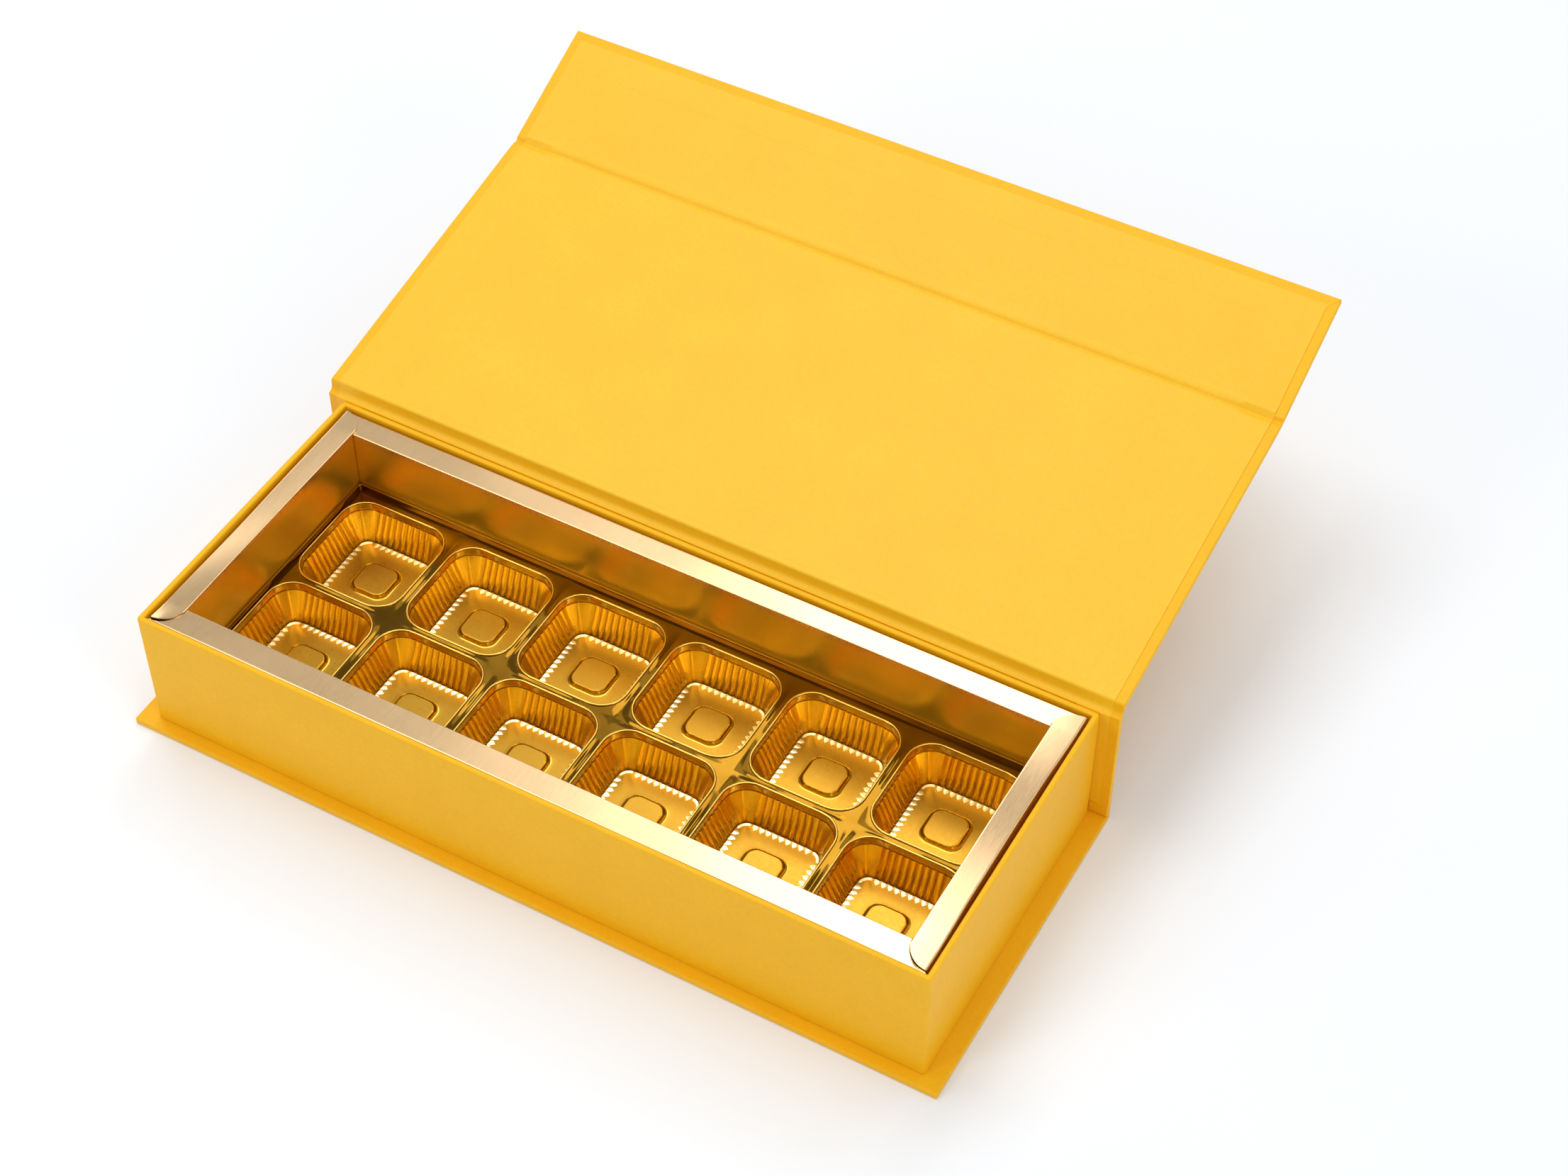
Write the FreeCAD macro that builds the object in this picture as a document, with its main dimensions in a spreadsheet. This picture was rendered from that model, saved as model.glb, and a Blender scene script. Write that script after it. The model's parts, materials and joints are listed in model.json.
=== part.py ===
import FreeCAD, Part
import math
import os
import re
import Sketcher
from FreeCAD import Placement, Rotation, Vector

# Folding chocolate box: a paper-covered book case with a magnetic front flap, a rigid tray glued into it,
# a gold card insert that drops into the tray, and a vacuum-formed tray of fluted cavities in the insert.
# X runs along the box, the front faces -Y and Z is up, from the base's underside below the tray's middle.

sizes = {
    # rigid tray, measured over its cover paper
    "tray_length": 250.0,
    "tray_width": 101.0,
    "tray_height": 42.8,
    "tray_board": 1.5,
    "tray_turn_in": 12.0,
    "rim_round": 0.3,
    "tape_thickness": 0.08,
    "tape_leg": 12.0,
    # case panels
    "case_board": 1.75,
    "paper_thickness": 0.15,
    "side_overhang": 5.7,
    "front_overhang": 3.8,
    "turn_in": 15.0,
    "liner_margin": 3.0,
    "liner_foot": 7.0,
    # folds: the lid and flap angles are those of the open box, above level
    "fold_gap": 0.6,
    "fold_clearance": 0.15,
    "lid_clearance": 0.3,
    "flap_clearance": 0.5,
    "flap_foot_gap": 1.6,
    "lid_angle": 9.8,
    "flap_angle": 23.7,
    # magnets in the flap and steel keepers in the tray's front wall
    "disc_diameter": 10.0,
    "disc_thickness": 1.0,
    "disc_spacing": 150.0,
    "disc_height": 26.0,
    # folded card insert
    "card_thickness": 0.4,
    "insert_gap": 1.1,
    "rim_width": 7.3,
    "rim_drop": 0.4,
    # vacuum-formed tray
    "film_thickness": 0.4,
    "film_gap": 0.3,
    "web_height": 18.0,
    "curb_height": 2.0,
    "curb_top": 0.6,
    "curb_run": 0.7,
    # one cavity
    "cavity_mouth": 32.4,
    "cavity_floor": 24.0,
    "cavity_depth": 12.0,
    "floor_radius": 3.0,
    "smooth_band": 1.8,
    "flute_depth": 0.7,
    "bead_width": 0.8,
    "bead_height": 0.5,
    "pad_width": 11.6,
    "pad_height": 1.0,
    "pad_corner": 2.0,
    "cavity_gap": 3.4,
    "end_gap": 0.4,
    # how far a cutting tool runs past the face it cuts
    "cut_overrun": 1.0,
}
flute_count = 9
flute_span_share = 0.97

doc = FreeCAD.newDocument("ChocolateBox")
sheet = doc.addObject("Spreadsheet::Sheet", "Sizes")
for row, (alias, value) in enumerate(sizes.items(), start=1):
    sheet.set(f"A{row}", alias)
    sheet.set(f"B{row}", str(value))
    sheet.setAlias(f"B{row}", alias)
doc.recompute()
size = {alias: float(sheet.get(alias)) for alias in sizes}

# Derived sizes, as formulas of the sheet's cells
case_length = "(tray_length + 2 * side_overhang)"
panel_rise = "(case_board + 2 * paper_thickness)"
base_top = panel_rise
tray_top = f"({base_top} + tray_height)"
corner_y = f"(tray_width / 2 + {panel_rise})"
lid_fold_z = f"({tray_top} + lid_clearance + {panel_rise})"
spine_reach = f"({lid_fold_z} - paper_thickness)"
lid_reach = f"({corner_y} + tray_width / 2 + flap_clearance + {panel_rise})"
flap_reach = f"({lid_fold_z} - {base_top} - flap_foot_gap)"
base_reach = f"({corner_y} + tray_width / 2 + front_overhang)"
wide_gap = f"({panel_rise} + fold_clearance)"
flap_fold_y = f"({corner_y} + {lid_reach} * cos(lid_angle * 1 deg))"
flap_fold_z = f"({lid_fold_z} + {lid_reach} * sin(lid_angle * 1 deg))"
floor_top = f"({base_top} + paper_thickness + tray_board)"

# A panel's frame: its fold line's Y and Z, and its angle above level. In it Y runs out from the fold,
# Z points to the panel's inner face, and zero height is where the board lies on the cover paper.
frames = {
    "base": (corner_y, "paper_thickness", "0"),
    "spine": (corner_y, "paper_thickness", "90"),
    "lid": (corner_y, lid_fold_z, "lid_angle"),
    "flap": (flap_fold_y, flap_fold_z, "flap_angle"),
}
parts = {}


def formula(text):
    return re.sub(r"[a-z]+(?:_[a-z]+)+", lambda name: f"Sizes.{name.group()}", text)


def bind(target, **formulas):
    for path, text in formulas.items():
        target.setExpression(path.replace("__", "."), formula(text))


def move(target, x, y, z):
    bind(target, Placement__Base__x=x, Placement__Base__y=y, Placement__Base__z=z)
    return target


def place(target, frame, x="0", out="0", rise="0"):
    fold_y, fold_z, angle = frames[frame]
    turn = f"({angle} * 1 deg)"
    target.Placement = Placement(Vector(), Rotation(Vector(1, 0, 0), 90))
    bind(target, Placement__Rotation__Angle=turn)
    y = f"{fold_y} + ({out}) * cos{turn} - ({rise}) * sin{turn}"
    z = f"{fold_z} + ({out}) * sin{turn} + ({rise}) * cos{turn}"
    return move(target, x, y, z)


def keep(node, target):
    target.Label = node
    parts[node] = target
    return target


def block(name, low, high, frame=None):
    solid = doc.addObject("Part::Box", name)
    length, width, height = [f"({top}) - ({bottom})" for bottom, top in zip(low, high)]
    bind(solid, Length=length, Width=width, Height=height)
    return place(solid, frame, *low) if frame else move(solid, *low)


def mirrored(name, low, high, axes):
    # the block and its copies on the other side of the planes across the given axes
    spans = [(low, high)]
    for axis in axes:
        for near, far in list(spans):
            other_near, other_far = list(near), list(far)
            other_near[axis], other_far[axis] = f"-({far[axis]})", f"-({near[axis]})"
            spans.append((other_near, other_far))
    return [block(name, near, far) for near, far in spans]


def fuse(name, shapes):
    whole = doc.addObject("Part::MultiFuse", name)
    whole.Shapes = shapes
    whole.Refine = True
    return whole


def cut(name, solid, tools):
    result = doc.addObject("Part::Cut", name)
    result.Base = solid
    result.Tool = fuse(f"{name}Tools", tools)
    return result


def discs(name, y, z, tilt):
    pair = []
    for x in ("-disc_spacing / 2", "disc_spacing / 2"):
        solid = doc.addObject("Part::Cylinder", name)
        bind(solid, Radius="disc_diameter / 2", Height="disc_thickness")
        solid.Placement = Placement(Vector(), Rotation(Vector(1, 0, 0), tilt))
        pair.append(move(solid, x, y, z))
    return pair


def board(name, low, high):
    body = doc.addObject("PartDesign::Body", name)
    sketch = body.newObject("Sketcher::SketchObject", f"{name}Outline")
    level = [plane for plane in body.Origin.OriginFeatures if plane.Role == "XY_Plane"]
    sketch.AttachmentSupport = (level[0], [""])
    sketch.MapMode = "FlatFace"
    corners = [Vector(-1, 0), Vector(1, 0), Vector(1, 1), Vector(-1, 1)]
    for here, following in zip(corners, corners[1:] + corners[:1]):
        sketch.addGeometry(Part.LineSegment(here, following), False)
    for line in range(len(corners)):
        sketch.addConstraint(Sketcher.Constraint("Coincident", line, 2, (line + 1) % len(corners), 1))
    for line in (0, 2):
        sketch.addConstraint(Sketcher.Constraint("Horizontal", line))
        sketch.addConstraint(Sketcher.Constraint("Vertical", line + 1))
    sketch.addConstraint(Sketcher.Constraint("Symmetric", 0, 1, 0, 2, -1, 1))
    sketch.renameConstraint(sketch.addConstraint(Sketcher.Constraint("DistanceX", 0, 1, 0, 2, 1)), "width")
    sketch.renameConstraint(sketch.addConstraint(Sketcher.Constraint("DistanceY", 1, 1, 1, 2, 1)), "depth")
    sketch.setExpression(".Constraints.width", formula(f"({high[0]}) - ({low[0]})"))
    sketch.setExpression(".Constraints.depth", formula(f"({high[1]}) - ({low[1]})"))
    bind(sketch, AttachmentOffset__Base__x=f"(({low[0]}) + ({high[0]})) / 2")
    bind(sketch, AttachmentOffset__Base__y=low[1], AttachmentOffset__Base__z=low[2])
    pad = body.newObject("PartDesign::Pad", f"{name}Pad")
    pad.Profile = sketch
    bind(pad, Length=f"({high[2]}) - ({low[2]})")
    return body


# Case panels: a board, the cover paper round it with its edges turned in, and a liner sheet over the turn-ins


def panel(name, start, stop, wrapped_end=None):
    edge = f"{case_length} / 2"
    board_start = f"{start} + paper_thickness" if wrapped_end == "start" else start
    board_stop = f"{stop} - paper_thickness" if wrapped_end == "stop" else stop
    board_low = (f"paper_thickness - {edge}", board_start, "0")
    board_high = (f"{edge} - paper_thickness", board_stop, "case_board")
    wrap_high = (edge, stop, "case_board + paper_thickness")
    wrap = block(f"{name}Wrap", (f"-{edge}", start, "-paper_thickness"), wrap_high)
    hollow = block(f"{name}Hollow", board_low, board_high)
    window_start = f"{start} + turn_in" if wrapped_end == "start" else f"{start} - cut_overrun"
    window_stop = f"{stop} - turn_in" if wrapped_end == "stop" else f"{stop} + cut_overrun"
    window_low = (f"turn_in - {edge}", window_start, "case_board / 2")
    window_high = (f"{edge} - turn_in", window_stop, "case_board + cut_overrun")
    window = block(f"{name}Window", window_low, window_high)
    cover = cut(f"{name}Cover", wrap, [hollow, window])
    keep(f"{name}_cover_paper", place(cover, name))
    return board(f"{name}Board", board_low, board_high)


def liner(name, start, stop, turn_stop):
    edge = f"{case_length} / 2"
    turned = "case_board + paper_thickness"
    over_low = (f"liner_margin - {edge}", start, turned)
    over_high = (f"{edge} - liner_margin", stop, f"{turned} + paper_thickness")
    between_low = (f"turn_in - {edge}", start, "case_board")
    between_high = (f"{edge} - turn_in", turn_stop, turned)
    over = block(f"{name}LinerOver", over_low, over_high)
    between = block(f"{name}LinerBetween", between_low, between_high)
    keep(f"{name}_liner_paper", place(fuse(f"{name}Liner", [over, between]), name))


def crease(node, fold_frame, strips):
    # two flat strips of doubled paper that meet in a round fold
    edge = f"{case_length} / 2"
    pieces = []
    for frame, start, stop in strips:
        low = (f"-{edge}", start, "-paper_thickness")
        pieces.append(block(f"{node}Strip", low, (edge, stop, "paper_thickness"), frame))
    bend = doc.addObject("Part::Cylinder", f"{node}Bend")
    bind(bend, Radius="paper_thickness", Height=case_length)
    bend.Placement = Placement(Vector(), Rotation(Vector(0, 1, 0), 90))
    fold_y, fold_z, _ = frames[fold_frame]
    keep(node, fuse(f"{node}Folded", pieces + [move(bend, f"-{edge}", fold_y, fold_z)]))


spine_stop = f"{spine_reach} - {wide_gap}"
lid_stop = f"{lid_reach} - fold_gap"
keep("base_board", place(panel("base", f"-{base_reach}", "-fold_gap", "start"), "base"))
keep("spine_board", place(panel("spine", wide_gap, spine_stop), "spine"))
keep("lid_board", place(panel("lid", "fold_gap", lid_stop), "lid"))
flap_blank = panel("flap", wide_gap, flap_reach, "stop")
liner("spine", "liner_foot", spine_stop, spine_stop)
liner("lid", "fold_gap", lid_stop, lid_stop)
liner("flap", wide_gap, f"{flap_reach} - liner_margin", f"{flap_reach} - turn_in")
crease("base_crease_paper", "base", [("base", "-fold_gap", "0"), ("spine", "0", wide_gap)])
crease("lid_crease_paper", "lid", [("spine", spine_stop, spine_reach), ("lid", "0", "fold_gap")])
crease("flap_crease_paper", "flap", [("lid", lid_stop, lid_reach), ("flap", "0", wide_gap)])

# The magnets lie in the flap board's inner face, opposite the keepers when the box is shut
magnets = discs("Magnet", f"{lid_fold_z} - {base_top} - disc_height", "case_board - disc_thickness", 0)
keep("flap_board", place(cut("FlapBoard", flap_blank, magnets), "flap"))
keep("flap_magnets", place(fuse("FlapMagnets", magnets), "flap"))

# Rigid tray: five boards, taped at the corners, in one sheet of cover paper
skin_x = "(tray_length / 2 - paper_thickness)"
skin_y = "(tray_width / 2 - paper_thickness)"
board_x = f"({skin_x} - tray_board)"
board_y = f"({skin_y} - tray_board)"
wall_low = f"{base_top} + paper_thickness"
wall_high = f"{tray_top} - paper_thickness"
floor_board = board("TrayFloor", (f"-{board_x}", f"-{board_y}", wall_low), (board_x, board_y, floor_top))
front_blank = board("TrayFront", (f"-{skin_x}", f"-{skin_y}", wall_low), (skin_x, f"-{board_y}", wall_high))
back_wall = board("TrayBack", (f"-{skin_x}", board_y, wall_low), (skin_x, skin_y, wall_high))
left_wall = board("TrayLeft", (f"-{skin_x}", f"-{board_y}", wall_low), (f"-{board_x}", board_y, wall_high))
right_wall = board("TrayRight", (board_x, f"-{board_y}", wall_low), (skin_x, board_y, wall_high))
keepers = discs("Keeper", f"disc_thickness - {skin_y}", f"{base_top} + disc_height", 90)
keep("tray_floor_board", floor_board)
keep("tray_front_wall_board", cut("TrayFrontBoard", front_blank, keepers))
keep("tray_back_wall_board", back_wall)
keep("tray_left_wall_board", left_wall)
keep("tray_right_wall_board", right_wall)
keep("front_wall_keepers", fuse("FrontWallKeepers", keepers))

long_leg_low = (f"{skin_x} - tape_leg", skin_y, wall_low)
long_leg_high = (f"{skin_x} + tape_thickness", f"{skin_y} + tape_thickness", wall_high)
short_leg_low = (skin_x, f"{skin_y} - tape_leg", wall_low)
legs = mirrored("TapeLongLeg", long_leg_low, long_leg_high, (0, 1))
legs += mirrored("TapeShortLeg", short_leg_low, long_leg_high, (0, 1))
tapes = keep("tray_corner_tapes", fuse("CornerTapes", legs))

wrap_low = ("-tray_length / 2", "-tray_width / 2", base_top)
wrap = block("TrayWrap", wrap_low, ("tray_length / 2", "tray_width / 2", tray_top))
lined_x = f"({board_x} - paper_thickness)"
lined_y = f"({board_y} - paper_thickness)"
inside_high = (lined_x, lined_y, f"{tray_top} + cut_overrun")
inside = block("TrayInside", (f"-{lined_x}", f"-{lined_y}", floor_top), inside_high)
foot_x = "(tray_length / 2 - tray_turn_in)"
foot_y = "(tray_width / 2 - tray_turn_in)"
foot_low = (f"-{foot_x}", f"-{foot_y}", f"{base_top} - cut_overrun")
foot = block("TrayFoot", foot_low, (foot_x, foot_y, f"{wall_low} + tray_board / 2"))
walls = [floor_board, front_blank, back_wall, left_wall, right_wall]
tray_cover = cut("TrayCover", wrap, walls + [tapes, inside, foot])
doc.recompute()


def level_edges(shape):
    # numbers of the edges that lie in the shape's highest level
    top = shape.BoundBox.ZMax
    on_top = [math.isclose(edge.BoundBox.ZMin, top, rel_tol=1e-6) for edge in shape.Edges]
    return [number for number, found in enumerate(on_top, start=1) if found]


rounded = doc.addObject("Part::Fillet", "TrayCoverRounded")
rounded.Base = tray_cover
rounded.Edges = [(number, size["rim_round"], size["rim_round"]) for number in level_edges(tray_cover.Shape)]
keep("tray_cover_paper", rounded)

# Card insert: floor, inner walls, rims and outer walls of one folded sheet. The short rims lie on the long
# ones, and their ends are quarter-round tabs.
insert_x = f"({lined_x} - insert_gap)"
insert_y = f"({lined_y} - insert_gap)"
well_x = f"({insert_x} - rim_width)"
well_y = f"({insert_y} - rim_width)"
rim_top = f"({tray_top} - rim_drop)"
fold_top = f"({rim_top} - card_thickness)"
rim_foot = f"{fold_top} - card_thickness"
behind_x = f"{well_x} + card_thickness"
behind_y = f"{well_y} + card_thickness"
inner_long_low = (f"-({behind_x})", well_y, floor_top)
inner_short_low = (well_x, f"-({behind_y})", floor_top)
outer_long_low = (f"-{insert_x}", f"{insert_y} - card_thickness", floor_top)
outer_short_low = (f"{insert_x} - card_thickness", f"-{insert_y}", floor_top)
insert_floor_high = (well_x, well_y, f"{floor_top} + card_thickness")
folded = [block("InsertFloor", (f"-{well_x}", f"-{well_y}", floor_top), insert_floor_high)]
folded += mirrored("InsertInnerLong", inner_long_low, (behind_x, behind_y, fold_top), (1,))
folded += mirrored("InsertInnerShort", inner_short_low, (behind_x, behind_y, fold_top), (0,))
folded += mirrored("InsertOuterLong", outer_long_low, (insert_x, insert_y, fold_top), (1,))
folded += mirrored("InsertOuterShort", outer_short_low, (insert_x, insert_y, fold_top), (0,))
folded += mirrored("InsertLongRim", (f"-{insert_x}", well_y, rim_foot), (insert_x, insert_y, fold_top), (1,))
folded += mirrored("InsertShortRim", (well_x, f"-{well_y}", fold_top), (insert_x, well_y, rim_top), (0,))
tab_corners = [(f"-{insert_x}", well_y), (insert_x, well_y)]
tab_corners += [(insert_x, f"-{well_y}"), (f"-{insert_x}", f"-{well_y}")]
for quarter, (x, y) in enumerate(tab_corners):
    tab = doc.addObject("Part::Cylinder", "InsertTab")
    bind(tab, Radius="rim_width", Height="card_thickness")
    tab.Angle = 90
    tab.Placement = Placement(Vector(), Rotation(Vector(0, 0, 1), 90 * quarter))
    folded.append(move(tab, x, y, fold_top))
keep("card_insert", fuse("CardInsert", folded))

# Vacuum-formed tray: a thin sheet with a skirt, a raised curb, a web and rows of fluted cups


def rounded_square(half, radius, z, flute=0):
    # a square outline with round corners; each side carries inward ridges of the given depth
    straight = half - radius
    span = flute_span_share * (size["cavity_floor"] / 2 - size["floor_radius"])
    step = span / flute_count
    side = [Vector(-straight, -half, z)]
    if flute:
        for ridge in range(flute_count):
            side.append(Vector(-span + 2 * ridge * step, -half, z))
            side.append(Vector(-span + (2 * ridge + 1) * step, flute - half, z))
        side.append(Vector(span, -half, z))
    side.append(Vector(straight, -half, z))
    swing = radius * math.sin(math.pi / 4)
    corner = Vector(straight + swing, -straight - swing, z)
    edges = []
    for quarter in range(4):
        turn = Rotation(Vector(0, 0, 1), 90 * quarter)
        points = [turn.multVec(point) for point in side]
        for here, following in zip(points, points[1:]):
            edges.append(Part.LineSegment(here, following).toShape())
        end = turn.multVec(Vector(half, -straight, z))
        edges.append(Part.Arc(points[-1], turn.multVec(corner), end).toShape())
    return edges


def cut_square(half, corner, z):
    # a square outline with each corner cut off straight
    side = [Vector(corner - half, -half, z), Vector(half - corner, -half, z)]
    turns = [Rotation(Vector(0, 0, 1), 90 * quarter) for quarter in range(4)]
    points = [turn.multVec(point) for turn in turns for point in side]
    return Part.makePolygon(points + points[:1]).Edges


def joined(low_edge, high_edge):
    # a flat face between two parallel straight edges, or a cone between two quarter arcs on one axis
    low_start, low_end = [low_edge.valueAt(bound) for bound in low_edge.ParameterRange]
    high_start, high_end = [high_edge.valueAt(bound) for bound in high_edge.ParameterRange]
    if low_edge.Curve.TypeId == "Part::GeomCircle":
        return Part.makeLine(low_start, high_start).revolve(low_edge.Curve.Center, Vector(0, 0, 1), 90)
    return Part.Face(Part.makePolygon([low_start, low_end, high_end, high_start, low_start]))


def loft(low_edges, high_edges):
    # the solid between two outlines with the same run of edges
    sides = [joined(low_edge, high_edge) for low_edge, high_edge in zip(low_edges, high_edges)]
    ends = [Part.Face(Part.Wire(edges)) for edges in (low_edges, high_edges)]
    skin = Part.Compound(sides + ends)
    skin.sewShape()
    solid = Part.Solid(skin.Shells[0])
    return solid if solid.Volume > 0 else solid.reversed()


def rectangle(half_x, half_y, z):
    corners = [Vector(-half_x, -half_y, z), Vector(half_x, -half_y, z), Vector(half_x, half_y, z)]
    corners.append(Vector(-half_x, half_y, z))
    return Part.makePolygon(corners + corners[:1]).Edges


def pillar(edges, height):
    return Part.Face(Part.Wire(edges)).extrude(Vector(0, 0, height))


def cup(web_z):
    # the outside of one cup, and the space inside it
    film = size["film_thickness"]
    floor_z = web_z - size["cavity_depth"]
    band_z = web_z - size["smooth_band"]
    draft_share = (size["cavity_mouth"] - size["cavity_floor"]) / 2 / (band_z - floor_z)
    # the leg of a corner cut that touches a corner arc, as a share of the arc's radius
    tangent_share = 2 - math.sqrt(2)

    def inner_outline(z, flute=0):
        spread = draft_share * (z - floor_z)
        return rounded_square(size["cavity_floor"] / 2 + spread, size["floor_radius"] + spread, z, flute)

    def outer_outline(z):
        spread = draft_share * (z - floor_z) + film
        corner = tangent_share * (size["floor_radius"] + spread)
        return cut_square(size["cavity_floor"] / 2 + spread, corner, z)

    outside = loft(outer_outline(floor_z - film), outer_outline(web_z))
    fluted = loft(inner_outline(floor_z, size["flute_depth"]), inner_outline(band_z, size["flute_depth"]))
    mouth = pillar(inner_outline(band_z), web_z + size["bead_height"] + size["cut_overrun"] - band_z)
    pad = pillar(cut_square(size["pad_width"] / 2, size["pad_corner"], floor_z), size["pad_height"])
    return outside, fluted.fuse(mouth).cut(pad)


def cavity_sheet():
    film = size["film_thickness"]
    wall = size["tray_board"] + 2 * size["paper_thickness"]
    inset = wall + size["insert_gap"] + size["rim_width"] + size["film_gap"]
    half_x = size["tray_length"] / 2 - inset
    half_y = size["tray_width"] / 2 - inset
    base = size["case_board"] + 2 * size["paper_thickness"]
    foot_z = base + size["paper_thickness"] + size["tray_board"] + size["card_thickness"]
    web_z = foot_z + size["web_height"]
    curb_z = web_z + size["curb_height"]
    run = size["curb_run"]
    basin_x = half_x - size["curb_top"] - run
    basin_y = half_y - size["curb_top"] - run

    bead = size["cavity_mouth"] + 2 * size["bead_width"]
    pitch_y = bead + size["cavity_gap"]
    columns = int((2 * basin_x + size["cavity_gap"]) / pitch_y)
    rows = int((2 * basin_y + size["cavity_gap"]) / pitch_y)
    pitch_x = (2 * basin_x - 2 * size["end_gap"] - bead) / max(columns - 1, 1)
    centres = [
        Vector((column - (columns - 1) / 2) * pitch_x, (row - (rows - 1) / 2) * pitch_y)
        for row in range(rows)
        for column in range(columns)
    ]

    skirt = pillar(rectangle(half_x, half_y, foot_z), curb_z - foot_z)
    shell = skirt.cut(pillar(rectangle(half_x - film, half_y - film, foot_z), curb_z - film - foot_z))
    basin = loft(rectangle(basin_x, basin_y, web_z), rectangle(basin_x + run, basin_y + run, curb_z))
    out_x = basin_x + film / 2
    out_y = basin_y + film / 2
    pan = loft(rectangle(out_x, out_y, web_z - film), rectangle(out_x + run, out_y + run, curb_z))
    bead_radius = size["floor_radius"] + (bead - size["cavity_floor"]) / 2
    ring = pillar(rounded_square(bead / 2, bead_radius, web_z - film / 2), film / 2 + size["bead_height"])
    outside, space = cup(web_z)
    cups = [outside.translated(centre) for centre in centres]
    rings = [ring.translated(centre) for centre in centres]
    spaces = [space.translated(centre) for centre in centres]
    return shell.fuse([pan] + cups).cut(basin).fuse(rings).cut(spaces).removeSplitter()


cavity_tray = doc.addObject("Part::Feature", "CavityTray")
cavity_tray.Shape = cavity_sheet()
cavity_tray.Placement = Placement()
keep("cavity_tray", cavity_tray)
doc.recompute()

for target in doc.Objects:
    if "Invalid" in target.State or "Error" in target.State:
        raise RuntimeError(f"{target.Label} failed: {target.State}")
for node, target in parts.items():
    if target.Shape.isNull() or not target.Shape.isValid():
        raise RuntimeError(f"{node} has no valid shape")
os.makedirs("parts", exist_ok=True)
for node, target in parts.items():
    target.Shape.exportStep(f"parts/{node}.step")
    print(node, len(target.Shape.Solids), "solids", round(target.Shape.Volume, 1), "mm3")
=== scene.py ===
import json
import math

import bmesh
import bpy
import numpy as np
from mathutils import Matrix, Vector


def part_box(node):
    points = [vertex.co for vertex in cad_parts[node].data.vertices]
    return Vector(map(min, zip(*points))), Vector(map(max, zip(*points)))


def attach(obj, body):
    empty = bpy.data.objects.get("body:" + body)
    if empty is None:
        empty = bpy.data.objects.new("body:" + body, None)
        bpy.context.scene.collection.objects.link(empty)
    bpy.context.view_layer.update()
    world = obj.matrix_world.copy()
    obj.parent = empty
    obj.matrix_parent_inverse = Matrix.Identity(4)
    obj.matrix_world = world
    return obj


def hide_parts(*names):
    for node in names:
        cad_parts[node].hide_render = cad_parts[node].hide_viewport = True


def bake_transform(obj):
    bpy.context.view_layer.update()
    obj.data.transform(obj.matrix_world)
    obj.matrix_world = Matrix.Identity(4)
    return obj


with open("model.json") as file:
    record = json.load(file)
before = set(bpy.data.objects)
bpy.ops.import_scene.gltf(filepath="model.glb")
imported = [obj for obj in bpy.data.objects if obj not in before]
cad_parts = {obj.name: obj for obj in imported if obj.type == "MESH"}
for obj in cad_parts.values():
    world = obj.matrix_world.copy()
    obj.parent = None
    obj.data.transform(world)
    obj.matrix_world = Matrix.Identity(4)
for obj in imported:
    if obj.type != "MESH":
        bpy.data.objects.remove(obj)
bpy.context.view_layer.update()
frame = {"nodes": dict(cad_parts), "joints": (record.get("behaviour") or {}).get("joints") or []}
mm = 0.001  # the shapes below are worked out in millimetres
tiny = 1e-4
farOff = 1e3
weldGap, sliver = 2e-7, 1e-7  # metres: points nearer than the first become one, and edges under the second go


def cadSpan(node):  # a node's lowest and highest corner in millimetres
    low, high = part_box(node)
    return np.array(low) / mm, np.array(high) / mm


# Where the folds lie, from the joints; a panel's own axes are s, out from its fold, and h, towards its inner face
hinges = {joint["name"]: np.array(joint["pos_m"]) / mm for joint in frame["joints"] if "pos_m" in joint}
lidFold = hinges["lid_hinge"][1:]
flapFold = hinges["flap_hinge"][1:]
baseLow, baseHigh = cadSpan("base_cover_paper")
spineTop = cadSpan("spine_cover_paper")[1][2]
trayLow, trayHigh = cadSpan("tray_cover_paper")
caseHalf = baseHigh[0]
paper = {"thickness": 0.15, "board": 1.75, "margin": 3.0, "ridge": 12.8}  # ridge: how far the cover is turned in
under, topH = -paper["thickness"], paper["board"] + paper["thickness"]  # a covered board's outer and inner face
panelTilt = {"base": 0.0, "spine": 90.0, "lid": math.degrees(math.atan2(*(flapFold - lidFold)[::-1])), "flap": 23.7}
baseFold = np.array([lidFold[0], baseLow[2] + paper["thickness"]])
panelFold = {"base": baseFold, "spine": baseFold, "lid": lidFold, "flap": flapFold}


def onPanel(name, s, h):
    # fold point + s along the panel + h across it
    tilt = math.radians(panelTilt[name])
    y = panelFold[name][0] + s * math.cos(tilt) - h * math.sin(tilt)
    z = panelFold[name][1] + s * math.sin(tilt) + h * math.cos(tilt)
    return np.stack(np.broadcast_arrays(y, z), -1)


def withX(x, yz):  # X along the rows, one Y and Z per point
    return np.concatenate([np.broadcast_to(x, yz.shape[:-1])[..., None], yz], -1)


def atHeights(loops, heights):  # flat loops of X and Y, one height for each loop
    return np.concatenate([loops, np.broadcast_to(heights[:, None, None], (*loops.shape[:2], 1))], -1)


def fourSides(along, out):  # one side's points, along it and out from the middle, turned onto all four sides
    return np.concatenate([along, out, -along, -out], -1), np.concatenate([-out, along, out, -along], -1)


def smooth(value):  # 0 to 1 with level ends
    value = np.clip(value, 0, 1)
    return value * value * (3 - 2 * value)


def hump(distance, width):  # a bell of height 1
    return np.exp(-((distance / width) ** 2))


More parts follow.
